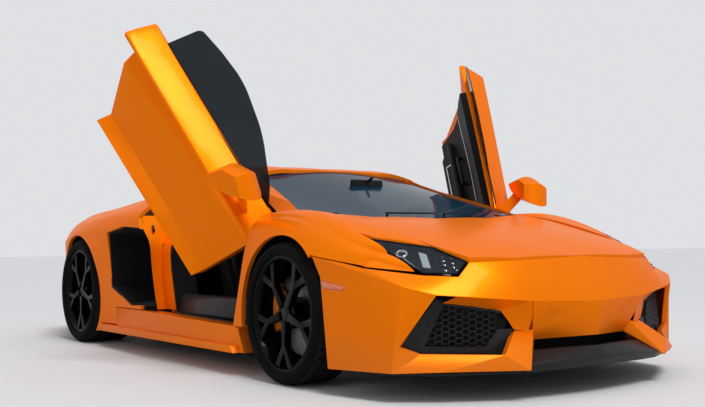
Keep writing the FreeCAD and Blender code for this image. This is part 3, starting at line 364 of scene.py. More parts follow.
def disc_finish(name, axle):
    """Turned iron with rows of drilled holes outside the hat; the holes' near-black is painted shade."""
    finish = Finish(name, "disc_iron", Metallic=1.0, Roughness=0.3)
    radius, angle = round_place(finish, axle)
    rings = (radius * 5200.0).sine()
    row = (radius * HOLE_ROWS_TO_THE_METRE).floor()
    turn_part = (angle * (HOLES_IN_A_ROW / math.tau) + row * 0.5) % 1.0 - 0.5
    sideways = turn_part * radius * (math.tau / HOLES_IN_A_ROW)
    outwards = ((radius * HOLE_ROWS_TO_THE_METRE) % 1.0 - 0.5) / HOLE_ROWS_TO_THE_METRE
    shaded_hole = ((sideways * sideways + outwards * outwards) ** 0.5 < HOLE_RADIUS) * (radius > HAT_RADIUS)
    face = finish.blend(finish.grain(40.0), (0.12, 0.12, 0.125), (0.22, 0.22, 0.225))
    # The holes are painted near-black: painted shade inside them, not a colour of the iron. The bump presses them
    # in.
    finish.tint(shaded_hole, face, (0.01, 0.01, 0.01))
    finish.bumps(rings * 0.1 - shaded_hole, 0.4, 0.0008)
    return finish


def tyre_finish(name, axle, outer, inner):
    finish = Finish(name, "tyre", Roughness=0.8, Specular_IOR_Level=0.06)
    radius = round_place(finish, axle)[0]
    wall = (radius - inner) / (outer - inner)
    ribs = (radius * 1500.0).sine() * ((wall > 0.25) * (wall < 0.34) + (wall > 0.66) * (wall < 0.72))
    worn = finish.blend(finish.grain(45.0, 5.0), (0.0022, 0.0022, 0.0025), (0.007, 0.0067, 0.0067))
    dusty = ((wall - 0.9).most(0.0) * 5.0).least(0.5)
    finish.tint(dusty, worn, (0.030, 0.028, 0.025))
    finish.drive(Roughness=0.72 + finish.grain(30.0) * 0.2)
    finish.bumps(ribs * 0.6 + finish.grain(700.0) * 0.3, 0.4, 0.001)
    return finish


front_disc = disc_finish("disc_front", FRONT_AXLE)
rear_disc = disc_finish("disc_rear", REAR_AXLE)
front_rubber = tyre_finish("rubber_front", FRONT_AXLE, 0.3305, 0.271)
rear_rubber = tyre_finish("rubber_rear", REAR_AXLE, 0.355, 0.284)

calliper_paint = Finish("calliper_orange", "caliper_paint", Roughness=0.35, Coat_Weight=0.8, Coat_Roughness=0.1)
calliper_paint.tint(calliper_paint.grain(30.0), (0.85, 0.20, 0.01), (0.95, 0.27, 0.02))
calliper_paint.bumps(calliper_paint.grain(220.0), 0.15, 0.0006)
print("wheel finishes made")

# %% [markdown]
# ## Dressing the solids
#
# A solid whose shape is right keeps its mesh and only gets a finish. A painted panel is copied, its loose
# triangles are merged, and its edges are rounded, because sheet metal has no knife edges and a rounded
# edge is what catches the light. The copy then stands for the solid.

# %% Carried-over solids
def dress(node, finish):
    materials = nodes[node].data.materials
    materials.clear()
    materials.append(finish.material)


GROUPS = (
    (paint, "fenders hood roof front_bumper rear_quarters sills rear_bumper engine_cover rear_wing"),
    (carbon, "tub front_splitter"), (screen_glass, "windscreen"), (side_glass, "quarter_glass"),
    (matt_black, "rear_frame underbody front_meshes side_ducts arch_liners rear_meshes"),
    (satin_black, "cowl headlamps diffuser tail_lamps wipers"),
    (cast_alloy, "lid_hinges door_hinges engine front_suspension rear_suspension"),
    (suede, "dashboard steering_wheel"), (leather, "seats"), (pipe_steel, "exhaust"),
    (calliper_paint, "rear_calipers"),
)
FINISH_OF = {node: finish for finish, names in GROUPS for node in names.split()}
for side in ("left", "right"):
    FINISH_OF["knuckle_" + side] = cast_alloy
    FINISH_OF["caliper_front_" + side] = calliper_paint
    FINISH_OF["door_shell_" + side] = paint
    FINISH_OF["door_trim_" + side] = leather
    FINISH_OF["door_glass_" + side] = side_glass
    FINISH_OF["mirror_" + side] = paint
    for end, rubber, iron in (("front", front_rubber, front_disc), ("rear", rear_rubber, rear_disc)):
        FINISH_OF[f"tyre_{end}_{side}"] = rubber
        FINISH_OF[f"disc_{end}_{side}"] = iron
        FINISH_OF[f"rim_{end}_{side}"] = gloss_black
for node, finish in FINISH_OF.items():
    dress(node, finish)
print("solids without a finish:", sorted(set(nodes) - set(FINISH_OF)))

# %% Ways to pick and shape
BODY_OF = {node: body for body, members in frame["record"]["behaviour"]["bodies"].items() for node in members}


def take(piece):
    """Leave edit mode, let go of everything else and hold this piece."""
    if bpy.context.mode != "OBJECT":
        bpy.ops.object.mode_set(mode="OBJECT")
    bpy.ops.object.select_all(action="DESELECT")
    piece.select_set(True)
    bpy.context.view_layer.objects.active = piece


def edit(piece, mode="FACE"):
    take(piece)
    bpy.ops.object.mode_set(mode="EDIT")
    bpy.ops.mesh.select_mode(type=mode)
    bpy.ops.mesh.select_all(action="DESELECT")


def whole(piece, mode="FACE"):
    """Edit the piece with all of it selected."""
    edit(piece, mode)
    bpy.ops.mesh.select_all(action="SELECT")


def let_go(piece):
    """Leave edit mode, and give the piece back."""
    bpy.ops.object.mode_set(mode="OBJECT")
    return piece


def settled(piece):
    """Put the piece's place, turn and size into its mesh."""
    take(piece)
    bpy.ops.object.transform_apply(location=True, rotation=True, scale=True)
    return piece


def modified(piece, kind, **settings):
    """Add a modifier with these settings and apply it."""
    take(piece)
    bpy.ops.object.modifier_add(type=kind)
    modifier = piece.modifiers[-1]
    for setting, value in settings.items():
        setattr(modifier, setting, value)
    bpy.ops.object.modifier_apply(modifier=modifier.name)
    return piece


def finished(piece, finish, body, name, smooth=35):
    """Settle the piece, smooth it, name it, finish it and let it ride."""
    settled(piece)
    bpy.ops.object.shade_smooth_by_angle(angle=math.radians(smooth))
    piece.name = name
    piece.data.materials.clear()
    piece.data.materials.append(finish.material)
    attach(piece, body)
    return piece


def merged_copy(node, name):
    """The node's mesh as one joined skin, in a new object."""
    piece = in_scene(name, nodes[node].data.copy())
    take(piece)
    bpy.ops.mesh.customdata_custom_splitnormals_clear()
    whole(piece, "VERT")
    bpy.ops.mesh.remove_doubles(threshold=0.00004)
    bpy.ops.mesh.dissolve_limited(angle_limit=math.radians(0.6))
    return let_go(piece)


def rounded(piece, width, segments=2, angle=28):
    return modified(piece, "BEVEL", width=width, segments=segments, angle_limit=math.radians(angle))


def divided(piece, levels):
    return modified(piece, "SUBSURF", levels=levels, render_levels=levels)


def welded(piece, distance):
    """Join the piece's points that are closer together than this."""
    whole(piece, "VERT")
    bpy.ops.mesh.remove_doubles(threshold=distance)
    return let_go(piece)


def turned_out(piece):
    """Turn all faces of the piece outwards."""
    whole(piece)
    bpy.ops.mesh.normals_make_consistent(inside=False)
    return let_go(piece)


def push(distance):
    """Push the selected faces out, or in where the distance is negative."""
    bpy.ops.mesh.extrude_region_shrink_fatten(MESH_OT_extrude_region={},
                                              TRANSFORM_OT_shrink_fatten={"value": distance})


# %% Rounded panels
# Widths are in metres. The big curved panels only have their triangles merged. A mirror's housing is
# smoothed all over, which shrinks it, so it is widened again by as much.
ROUNDED = {
    "front_bumper": 0.004, "sills": 0.004, "rear_bumper": 0.004, "rear_wing": 0.003, "mirror_left": 0.014,
    "mirror_right": 0.014, "door_shell_left": 0.005, "door_shell_right": 0.005,
    "fenders": 0, "hood": 0, "roof": 0, "rear_quarters": 0, "engine_cover": 0.002, "front_splitter": 0.003,
    "diffuser": 0.002,
}
MIRROR_WIDENING = 1.06
for node, width in ROUNDED.items():
    panel = merged_copy(node, node + "_skin")
    if width:
        rounded(panel, width)
    if node.startswith("mirror"):
        divided(panel, 2)
        low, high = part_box(node)
        whole(panel, "VERT")
        bpy.ops.transform.resize(value=(MIRROR_WIDENING, 1.0, MIRROR_WIDENING),
                                 center_override=(Vector(low) + Vector(high)) / 2)
        let_go(panel)
    finished(panel, FINISH_OF[node], BODY_OF[node], node + "_skin", 32)
    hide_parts(node)
print("rounded panels:", len(ROUNDED))

# %% [markdown]
# ## Making new pieces
#
# Plates, bars and rods make most of the trim. A plate starts as a flat disc with as many corners as its
# outline, and each corner is moved to its place, as by hand. Bars and rods are a cube or a cylinder
# stretched between two places. All get thickness and softened edges from modifiers.

# %% Plates, bars and rods
def thickened(piece, thickness, offset=-1):
    return modified(piece, "SOLIDIFY", thickness=thickness, offset=offset)


def plate(corners, outward, thickness, soft=0.0):
    """A flat piece with these corners in millimetres; thickness and softening are in metres."""
    corners = [Vector(corner) / 1000 for corner in corners]
    bpy.ops.mesh.primitive_circle_add(vertices=len(corners), radius=0.1, fill_type="NGON")
    piece = bpy.context.active_object
    edit(piece, "VERT")
    for index, corner in enumerate(corners):
        bpy.ops.mesh.select_all(action="DESELECT")
        shape = bmesh.from_edit_mesh(piece.data)
        shape.verts.ensure_lookup_table()
        shape.verts[index].select_set(True)
        bpy.ops.transform.translate(value=corner - shape.verts[index].co)
    shape = bmesh.from_edit_mesh(piece.data)
    shape.normal_update()
    shape.faces.ensure_lookup_table()
    if shape.faces[0].normal.dot(Vector(outward)) < 0:
        bpy.ops.mesh.select_all(action="SELECT")
        bpy.ops.mesh.flip_normals()
    let_go(piece)
    if thickness:
        thickened(piece, thickness)
    if soft:
        rounded(piece, soft, 2, 30)
    return piece


def bar(start, end, width, height, soft=0.002):
    start, end = Vector(start) / 1000, Vector(end) / 1000
    turn = (end - start).to_track_quat("X", "Z").to_euler()
    size = ((end - start).length, width / 1000, height / 1000)
    bpy.ops.mesh.primitive_cube_add(size=1, location=(start + end) / 2, rotation=turn, scale=size)
    return rounded(settled(bpy.context.active_object), soft, 2, 30)


def rod(start, end, radius, soft=0.001, corners=24):
    start, end = Vector(start) / 1000, Vector(end) / 1000
    turn = (end - start).to_track_quat("Z", "Y").to_euler()
    bpy.ops.mesh.primitive_cylinder_add(vertices=corners, radius=radius / 1000, depth=(end - start).length,
                                        location=(start + end) / 2, rotation=turn)
    piece = settled(bpy.context.active_object)
    if soft:
        rounded(piece, soft, 2, 40)
    return piece


def joined(pieces):
    take(pieces[0])
    for piece in pieces[1:]:
        piece.select_set(True)
    bpy.ops.object.join()
    return pieces[0]


def with_twin(piece):
    """The piece and its mirror image on the car's other side, as one mesh."""
    modified(settled(piece), "MIRROR", use_axis=(False, True, False), use_mirror_merge=False)
    return turned_out(piece)


print("plate, bar and rod ready")

# %% [markdown]
# ## Honeycomb mesh
#
# The black openings hold a stamped mesh of stretched hexagons. One cell is a six-cornered disc whose
# middle is inset and taken out, with a little depth. It is copied in staggered columns, and only cells
# whose middle lies inside the opening's outline are kept.

# %% Honeycomb
def inside(point, outline):
    hit = False
    for (x0, y0), (x1, y1) in zip(outline, outline[1:] + outline[:1]):
        if (y0 > point[1]) != (y1 > point[1]) and point[0] < x0 + (point[1] - y0) * (x1 - x0) / (y1 - y0):
            hit = not hit
    return hit


def honeycomb(corners, outward, wide, tall, wall=2.2, depth=6.0):
    """Mesh cells over the flat outline of these corners, all in millimetres, and their number."""
    corners = [Vector(corner) / 1000 for corner in corners]
    normal = Vector(outward).normalized()
    across = Vector((0, 0, 1)).cross(normal).normalized()
    rise = normal.cross(across)
    base = corners[0]
    outline = [((corner - base).dot(across), (corner - base).dot(rise)) for corner in corners]
    bpy.ops.mesh.primitive_circle_add(vertices=6, radius=wide / 2000, fill_type="NGON",
                                      rotation=(0, 0, math.pi / 6))
    cell = settled(bpy.context.active_object)
    whole(cell)
    bpy.ops.transform.resize(value=(1, tall / wide * 2 / math.sqrt(3), 1))
    bpy.ops.mesh.inset(thickness=wall / 1000, depth=0)
    bpy.ops.mesh.delete(type="FACE")
    thickened(let_go(cell), depth / 1000, 1)
    low_u, high_u = min(u for u, v in outline), max(u for u, v in outline)
    low_v, high_v = min(v for u, v in outline), max(v for u, v in outline)
    copies = []
    column = 0
    u = low_u
    while u < high_u:
        v = low_v + (tall / 2000 if column % 2 else 0)
        while v < high_v:
            if inside((u, v), outline):
                copy = in_scene("cell", cell.data.copy())
                copy.matrix_world = Matrix((across, rise, normal)).transposed().to_4x4()
                copy.matrix_world.translation = base + across * u + rise * v
                copies.append(copy)
            v += tall / 1000
        u += wide / 1000 * 0.75
        column += 1
    bpy.data.objects.remove(cell)
    return settled(joined(copies)), len(copies)


print("honeycomb ready")

# %% [markdown]
# ## Front intakes
#
# Each outer intake has three parts: a ribbed fin on its outer side, the honeycomb, and a heavy black
# frame below and beside it. The fin is a four-cornered plate, cut into strips by subdividing its two long
# sides only, and every second strip is pushed out.

# %% Ribbed fin
INTAKE_OUT = (0.891, 0.449, -0.065)
FIN_CUTS = 45
FIN = [(2092, 712, 420), (2010, 849, 230), (2047, 768, 194), (2103, 685, 396)]


def ribbed_fin():
    fin = plate(FIN, INTAKE_OUT, 0)
    edit(fin, "EDGE")
    shape = bmesh.from_edit_mesh(fin.data)
    sides = sorted(shape.edges, key=lambda edge: -edge.calc_length())[:2]
    for side in sides:
        side.select_set(True)
    bpy.ops.mesh.subdivide(number_cuts=FIN_CUTS)
    bpy.ops.mesh.select_mode(type="FACE")
    bpy.ops.mesh.select_all(action="DESELECT")
    shape = bmesh.from_edit_mesh(fin.data)
    strips = sorted(shape.faces, key=lambda face: face.calc_center_median().z)
    for strip in strips[::2]:
        strip.select_set(True)
    push(0.0035)
    return thickened(let_go(fin), 0.008)


fin = with_twin(ribbed_fin())
finished(fin, trim_grey, "chassis", "intake_fins", 20)
print("fin faces:", len(fin.data.polygons))

# %% Intake mesh and frame
mesh_corners = [(2104, 685, 392), (2206, 474, 352), (2199, 487, 285), (2176, 525, 219), (2060, 752, 225)]
comb, cells = honeycomb(mesh_corners, INTAKE_OUT, 38, 25)
finished(with_twin(comb), trim_grey, "chassis", "intake_honeycomb", 20)
frame_low = plate([(2050, 752, 226), (2172, 524, 216), (2201, 478, 289), (2228, 415, 288), (2203, 455, 180),
                   (2046, 765, 184)], INTAKE_OUT, 0.012, 0.003)
frame_top = plate([(2106, 688, 404), (2214, 455, 366), (2210, 460, 352), (2103, 688, 392)], INTAKE_OUT,
                  0.010, 0.002)
frame_side = bar((2101, 690, 396), (2047, 771, 192), 7, 10)
finished(with_twin(joined([frame_low, frame_top, frame_side])), trim_grey, "chassis", "intake_frames")
print("honeycomb cells on each side:", cells)

# %% Parking sensors and side markers
def moulded_lens(name, scale, dark, light, bump=0.3, **surface):
    """A coloured lens with small moulded cells, counted to the metre."""
    finish = Finish(name, "lamp_glass", **surface)
    finish.tint(finish.cells(scale), dark, light)
    finish.bumps(finish.cells(scale), bump, 0.001)
    return finish


amber = moulded_lens("marker_amber", 260.0, (0.70, 0.13, 0.01), (0.86, 0.22, 0.02), Roughness=0.12,
                     Coat_Weight=1.0)
red_lens = moulded_lens("lens_red", 320.0, (0.35, 0.004, 0.004), (0.55, 0.012, 0.010), Roughness=0.12,
                        Coat_Weight=1.0)

sensors = []
for place, normal in (((2073, 846, 423), (0.77, 0.634, -0.075)), ((2302, 260, 382), (0.89, 0.119, -0.439))):
    middle, out = Vector(place), Vector(normal)
    sensors.append(rod(middle - out * 2, middle + out * 1.6, 10.5, 0.0008, 32))
    sensors.append(rod(middle - out * 2, middle + out * 2.6, 7.5, 0.0012, 32))
finished(with_twin(joined(sensors)), paint, "chassis", "parking_sensors")

FENDER_OUT = (0.2, 0.98, 0.07)
marker = plate([(1610, 961, 489), (1742, 935, 465), (1737, 937, 451), (1618, 961, 461)], FENDER_OUT, 0.004, 0.001)
finished(with_twin(marker), amber, "chassis", "side_markers")
rim_line = plate([(1606, 961.4, 493), (1748, 933.4, 467), (1739, 936, 447), (1613, 961.4, 457)], FENDER_OUT,
                 0.003, 0.0008)
finished(with_twin(rim_line), red_lens, "chassis", "side_marker_rims")
print("sensors and markers made")

# %% [markdown]
# ## Headlamps
#
# A headlamp is a dark bucket behind a clear cover. The bucket is a copy of the lamp's solid whose outer
# faces are inset and pushed in. Inside sit a projector, a slanted bar of light, two rows of small diodes
# and a bright strip along the lower edge, as the photograph shows. The cover is a thin tinted plate over
# the same outline.

# %% Lamp bucket and cover
LAMP = {"tip": (1712, 800, 677), "top": (1975, 631, 632), "inner": (2136, 583, 571), "low_in": (2134, 634, 519),
        "low_out": (2052, 752, 526)}
LAMP_OUT = Vector((0.49, 0.42, 0.76)).normalized()

bucket = merged_copy("headlamps", "lamp_buckets")
edit(bucket)
shape = bmesh.from_edit_mesh(bucket.data)
shown = 0
for face in shape.faces:
    out = Vector((LAMP_OUT.x, math.copysign(LAMP_OUT.y, face.calc_center_median().y), LAMP_OUT.z))
    if face.normal.dot(out) > 0.8:
        face.select_set(True)
        shown += 1
bpy.ops.mesh.inset(thickness=0.006, depth=0)
push(-0.022)
let_go(bucket)
finished(bucket, gloss_black, "chassis", "lamp_buckets", 30)
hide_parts("headlamps")

cover_parts = []
for names in (("tip", "low_out", "top"), ("top", "low_out", "low_in"), ("top", "low_in", "inner")):
    corners = [Vector(LAMP[name]) - LAMP_OUT * 2.0 for name in names]
    cover_parts.append(plate(corners, LAMP_OUT, 0.0))
cover = thickened(welded(joined(cover_parts), 0.0005), 0.002)
finished(with_twin(cover), lamp_cover, "chassis", "lamp_covers", 30)
print("lamp faces opened:", shown)

# %% Lamp parts
lit = Finish("lamp_white", "lamp_glass", Roughness=0.3, Emission_Strength=0.35)
lit.tint(lit.grain(120.0), (0.30, 0.36, 0.38), (0.45, 0.50, 0.52))
lit.drive(Emission_Color=lit.blend(lit.grain(90.0), (0.45, 0.62, 0.66), (0.75, 0.90, 0.92)))

bar_plate = plate([(1949, 687, 611), (1976, 666, 601), (2038, 695, 545), (2017, 720, 549)], LAMP_OUT, 0.004, 0.001)
strip = bar((2074, 690, 520), (2108, 648, 515), 5, 4, 0.001)
edge_light = bar((1916, 741, 585), (2030, 742, 530), 3, 3, 0.0008)
finished(with_twin(joined([bar_plate, strip, edge_light])), lit, "chassis", "lamp_light_bars")

diodes = []
for place in ((2021, 614, 591), (2039, 626, 573), (2058, 636, 556), (2080, 650, 534), (2061, 601, 585),
              (2078, 609, 564), (2093, 616, 547), (2112, 615, 535)):
    middle = Vector(place)
    diodes.append(rod(middle - LAMP_OUT * 8, middle + LAMP_OUT * 1, 6.5, 0.002, 20))
finished(with_twin(joined(diodes)), bright_metal, "chassis", "lamp_diodes")

eye = Vector((1898, 738, 604))
shroud = rod(eye - LAMP_OUT * 22, eye + LAMP_OUT * 2, 25, 0, 40)
edit(shroud)
shape = bmesh.from_edit_mesh(shroud.data)
max(shape.faces, key=lambda face: face.calc_center_median().dot(LAMP_OUT)).select_set(True)
bpy.ops.mesh.inset(thickness=0.004, depth=0)
bpy.ops.mesh.inset(thickness=0.003, depth=-0.006)
bpy.ops.mesh.inset(thickness=0.002, depth=0.004)
let_go(shroud)
rounded(shroud, 0.0006, 2, 30)
finished(with_twin(shroud), bright_metal, "chassis", "lamp_shrouds")
bpy.ops.mesh.primitive_uv_sphere_add(segments=32, ring_count=16, radius=0.017,
                                     location=(eye - LAMP_OUT * 6) / 1000)
lens = bpy.context.active_object
whole(lens, "VERT")
bpy.ops.transform.resize(value=(1.0, 1.0, 0.8))
let_go(lens)
finished(with_twin(lens), screen_glass, "chassis", "lamp_lenses", 60)
print("lamp parts made")

# %% [markdown]
# ## Tyres
#
# A plain ring shows no tread. Each tyre starts as an open tube as wide as the tread. Bisects cut rings
# into it, both rims of the tube are pulled out and in for the shoulders and side walls, and the rings
# are pushed in for grooves. Then every eighth face of the ribs beside the grooves is pushed in too, which
# leaves blocks.

# %% A tyre with tread
TREAD_STEPS, BLOCK_STEPS = 336, 8
GROOVE_DEPTH, CUT_DEPTH, SHOULDER = 0.007, 0.005, 0.040


def tread_faces(piece, low, high, radius, every=1, start=0):
    """Select the tread's faces whose distance from the middle lies between low and high."""
    edit(piece)
    shape = bmesh.from_edit_mesh(piece.data)
    for face in shape.faces:
        middle = face.calc_center_median()
        if low < abs(middle.y) < high and math.hypot(middle.x, middle.z) > radius - 0.0012:
            step = int(math.floor(math.atan2(middle.z, middle.x) / math.tau * TREAD_STEPS + 0.5))
            if step % every == start:
                face.select_set(True)


def tyre_piece(radius, width, rim_radius):
    half = width / 2
    flat = half - SHOULDER
    bpy.ops.mesh.primitive_cylinder_add(vertices=TREAD_STEPS, radius=radius, depth=flat * 2,
                                        end_fill_type="NOTHING", rotation=(math.pi / 2, 0, 0))
    piece = settled(bpy.context.active_object)
    grooves = [(flat * 0.10, flat * 0.20), (flat * 0.52, flat * 0.64)]
    edit(piece, "EDGE")
    for ring in grooves:
        for place in ring:
            for side in (-1, 1):
                bpy.ops.mesh.select_all(action="SELECT")
                bpy.ops.mesh.bisect(plane_co=(0, place * side, 0), plane_no=(0, 1, 0))
    wall = [(radius - 0.003, half - 0.027), (radius - 0.010, half - 0.014), (radius - 0.021, half - 0.005),
            (radius - 0.034, half - 0.001), (rim_radius + 0.028, half - 0.001), (rim_radius + 0.014, half - 0.004),
            (rim_radius + 0.006, half - 0.007), (rim_radius, half - 0.016)]
    for side in (-1, 1):
        edit(piece, "EDGE")
        shape = bmesh.from_edit_mesh(piece.data)
        for edge in shape.edges:
            if edge.is_boundary and edge.verts[0].co.y * side > 0:
                edge.select_set(True)
        last_radius, last_y = radius, flat
        for next_radius, next_y in wall:
            bpy.ops.mesh.extrude_region_move(TRANSFORM_OT_translate={"value": (0, (next_y - last_y) * side, 0)})
            scale = next_radius / last_radius
            bpy.ops.transform.resize(value=(scale, 1, scale), center_override=(0, 0, 0))
            last_radius, last_y = next_radius, next_y
    edit(piece, "EDGE")
    shape = bmesh.from_edit_mesh(piece.data)
    for edge in shape.edges:
        if edge.is_boundary:
            edge.select_set(True)
    bpy.ops.mesh.bridge_edge_loops()
    for low, high in grooves:
        tread_faces(piece, low, high, radius)
        push(-GROOVE_DEPTH)
    for low, high, start in ((grooves[1][1], flat, 0), (grooves[0][1], grooves[1][0], BLOCK_STEPS // 2)):
        tread_faces(piece, low, high, radius, BLOCK_STEPS, start)
        push(-CUT_DEPTH)
    return turned_out(let_go(piece))


# Radius, width and rim radius of each tyre, in metres
for end, axle, y, size, rubber in (("front", FRONT_AXLE, 0.860, (0.3305, 0.255, 0.271), front_rubber),
                                   ("rear", REAR_AXLE, 0.845, (0.355, 0.335, 0.284), rear_rubber)):
    first = tyre_piece(*size)
    for side, sign in (("left", 1), ("right", -1)):
        tyre = in_scene("tyre", first.data.copy())
        tyre.location = (axle[0], y * sign, axle[1])
        finished(tyre, rubber, f"wheel_{end}_{side}", f"tread_tyre_{end}_{side}", 30)
        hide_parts(f"tyre_{end}_{side}")
    bpy.data.objects.remove(first)
    print(end, "tyre faces:", len(tyre.data.polygons))

# %% [markdown]
# ## Rims, bolts and callipers
#
# The rims' and callipers' solids have the right shape but sharp edges. Copies get rounded edges, which
# draw the thin lines of light that the near-black spokes show. A cap and five bolts go on each hub, and
# round piston bulges on the callipers.

# %% Rims and their fittings
def other_side(piece):
    """A mirrored copy for the car's other side, with its faces turned outwards again."""
    copy = in_scene("twin", piece.data.copy())
    copy.scale = (1, -1, 1)
    return turned_out(settled(copy))


def about_hub(end, radius, degrees):
    """A place in millimetres, x and z, at this radius and angle about an axle."""
    x, z = HUBS[end]
    return x + radius * math.cos(math.radians(degrees)), z + radius * math.sin(math.radians(degrees))


# The bore is widened a little, so that the rounded rim turns clear of its hub.
BORE_SOLID, BORE_WIDENED = 0.0312, 0.0325
for end, (axle_x, axle_z) in (("front", FRONT_AXLE), ("rear", REAR_AXLE)):
    for side in ("left", "right"):
        wheel = f"{end}_{side}"
        rim = merged_copy("rim_" + wheel, "rim")
        for vertex in rim.data.vertices:
            reach = math.hypot(vertex.co.x - axle_x, vertex.co.z - axle_z)
            if reach < BORE_SOLID:
                vertex.co.x = axle_x + (vertex.co.x - axle_x) * BORE_WIDENED / reach
                vertex.co.z = axle_z + (vertex.co.z - axle_z) * BORE_WIDENED / reach
        rounded(rim, 0.0028, 2, 32)
        finished(rim, gloss_black, "wheel_" + wheel, "spoked_rim_" + wheel, 32)
        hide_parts("rim_" + wheel)

BOLTS, BOLT_CIRCLE_RADIUS = 5, 55
for end, hub_y in (("front", 940.5), ("rear", 965.5)):
    x, z = HUBS[end]
    fittings = [rod((x, hub_y - 2, z), (x, hub_y + 9, z), 37, 0.004, 40),
                rod((x, hub_y + 8, z), (x, hub_y + 12, z), 26, 0.002, 40)]
    for index in range(BOLTS):
        x, z = about_hub(end, BOLT_CIRCLE_RADIUS, 360 * (index + 0.5) / BOLTS + 90)
        fittings.append(rod((x, hub_y - 2, z), (x, hub_y + 2, z), 13.5, 0.0012, 24))
        fittings.append(rod((x, hub_y, z), (x, hub_y + 13, z), 9.5, 0.0015, 6))
    left = finished(joined(fittings), satin_black, f"wheel_{end}_left", f"hub_fittings_{end}_left", 30)
    finished(other_side(left), satin_black, f"wheel_{end}_right", f"hub_fittings_{end}_right", 30)
print("rims, caps and bolts made")

# %% Callipers
for node in ("caliper_front_left", "caliper_front_right", "rear_calipers"):
    shell = rounded(merged_copy(node, node + "_body"), 0.006, 3, 35)
    finished(shell, calliper_paint, BODY_OF[node], node + "_body", 35)
    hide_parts(node)

for end, face_y, reach, middle in (("front", 882, 176, 175), ("rear", 867, 166, 5)):
    bulges = []
    for offset in (-20, 0, 20):
        x, z = about_hub(end, reach, middle + offset)
        bulges.append(rod((x, face_y - 4, z), (x, face_y + 5, z), 21, 0.004, 32))
    bulge = joined(bulges)
    if end == "front":
        finished(other_side(bulge), calliper_paint, "knuckle_right", "calliper_pistons_front_right", 35)
        finished(bulge, calliper_paint, "knuckle_left", "calliper_pistons_front_left", 35)
    else:
        finished(with_twin(bulge), calliper_paint, "chassis", "calliper_pistons_rear", 35)
print("callipers made")

# %% [markdown]
# ## Seats
#
# A seat is leather over foam in a thin shell. Each pad starts as a block with softened edges, is remeshed
# into even faces, and is blown up a little by the cloth simulation, so that it crowns between its edges.
# How far a point may move is capped, because the pad has to stay in its own space. The seams are pressed
# in after that, because remeshing wipes out anything narrower than its cells. The seat's own shell is drawn
# in under the cushion, so that the pad covers it.

# %% Leather with piping
SEAM_Y, SEAT_MIDDLE_Y = 0.112, 0.370

seat_leather = Finish("leather_piped", "leather", Roughness=0.5, Specular_IOR_Level=0.22)
seat_x, seat_y, seat_z = seat_leather.place()
seam_distance = ((seat_y.size() - SEAT_MIDDLE_Y).size() - SEAM_Y).size()
piping = seam_distance < 0.0035
hide = seat_leather.blend(seat_leather.grain(18.0), (0.006, 0.006, 0.0065), (0.017, 0.0165, 0.017))
seat_leather.tint(piping, hide, (0.42, 0.42, 0.44))
seat_leather.drive(Roughness=0.42 + seat_leather.grain(30.0) * 0.2)
stitches = ((seat_x + seat_z) * 400.0).sine() * (seam_distance > 0.006) * (seam_distance < 0.0085)
seat_leather.bumps(seat_leather.cells(420.0) * 0.7 + stitches * 0.5, 0.35, 0.0008)
print("piped leather made")

# %% Padding
CLOTH_FRAMES, PAD_LIMIT = 20, 0.008
SEAM_DEPTH, SEAM_WIDTH = 0.006, 0.007
CUSHION_TILT, BACK_TILT = 0.09, -0.405


def softened_block(size, place, tilt, edge):
    bpy.ops.mesh.primitive_cube_add(size=1, location=place, rotation=(0, tilt, 0), scale=size)
    return rounded(settled(bpy.context.active_object), edge, 4, 30)


def puffed(piece):
    """Even faces, then cloth blown up from inside, with each point kept within the limit of its start."""
    modified(piece, "REMESH", mode="VOXEL", voxel_size=0.0075)
    start = [vertex.co.copy() for vertex in piece.data.vertices]
    bpy.ops.object.modifier_add(type="CLOTH")
    cloth = piece.modifiers[-1]
    cloth.settings.use_pressure = True
    cloth.settings.uniform_pressure_force = 4
    cloth.settings.effector_weights.gravity = 0
    for step in range(1, CLOTH_FRAMES + 1):
        bpy.context.scene.frame_set(step)
    bpy.ops.object.modifier_apply(modifier=cloth.name)
    bpy.context.scene.frame_set(1)
    for vertex, first in zip(piece.data.vertices, start):
        move = vertex.co - first
        if move.length > PAD_LIMIT:
            vertex.co = first + move * (PAD_LIMIT / move.length)
    return modified(piece, "SMOOTH", factor=0.5, iterations=6)


def pressed_seams(piece, distance_of):
    """Push points in along their normals where the distance to a seam is small."""
    for vertex in piece.data.vertices:
        distance = distance_of(vertex.co)
        if distance < SEAM_WIDTH * 2:
            vertex.co -= vertex.normal * (SEAM_DEPTH * math.exp(-(distance / SEAM_WIDTH) ** 2))


def side_seams(point):
    return abs(abs(point.y - SEAT_MIDDLE_Y) - SEAM_Y)


def cushion_seams(point):
    return min(side_seams(point), abs(abs(point.x - 0.20) - 0.075))


def back_seams(point):
    height = (point - Vector((-0.05, 0, 0.30))).dot(Vector((-0.28, 0, 0.65)).normalized())
    return min(side_seams(point), min(abs(height - level) for level in (0.16, 0.28, 0.40, 0.50)))


cushion = joined([softened_block((0.46, 0.25, 0.10), (0.205, 0.37, 0.262), CUSHION_TILT, 0.028),
                  softened_block((0.44, 0.078, 0.14), (0.200, 0.226, 0.272), CUSHION_TILT, 0.034),
                  softened_block((0.44, 0.078, 0.14), (0.200, 0.514, 0.272), CUSHION_TILT, 0.034)])
back = joined([softened_block((0.085, 0.24, 0.56), (-0.150, 0.37, 0.585), BACK_TILT, 0.030),
               softened_block((0.125, 0.070, 0.44), (-0.108, 0.238, 0.515), BACK_TILT, 0.034),
               softened_block((0.125, 0.070, 0.44), (-0.108, 0.502, 0.515), BACK_TILT, 0.034),
               softened_block((0.075, 0.20, 0.13), (-0.262, 0.37, 0.845), BACK_TILT, 0.030)])
for pad, seams in ((cushion, cushion_seams), (back, back_seams)):
    puffed(pad)
    pressed_seams(pad, seams)
    divided(pad, 1)

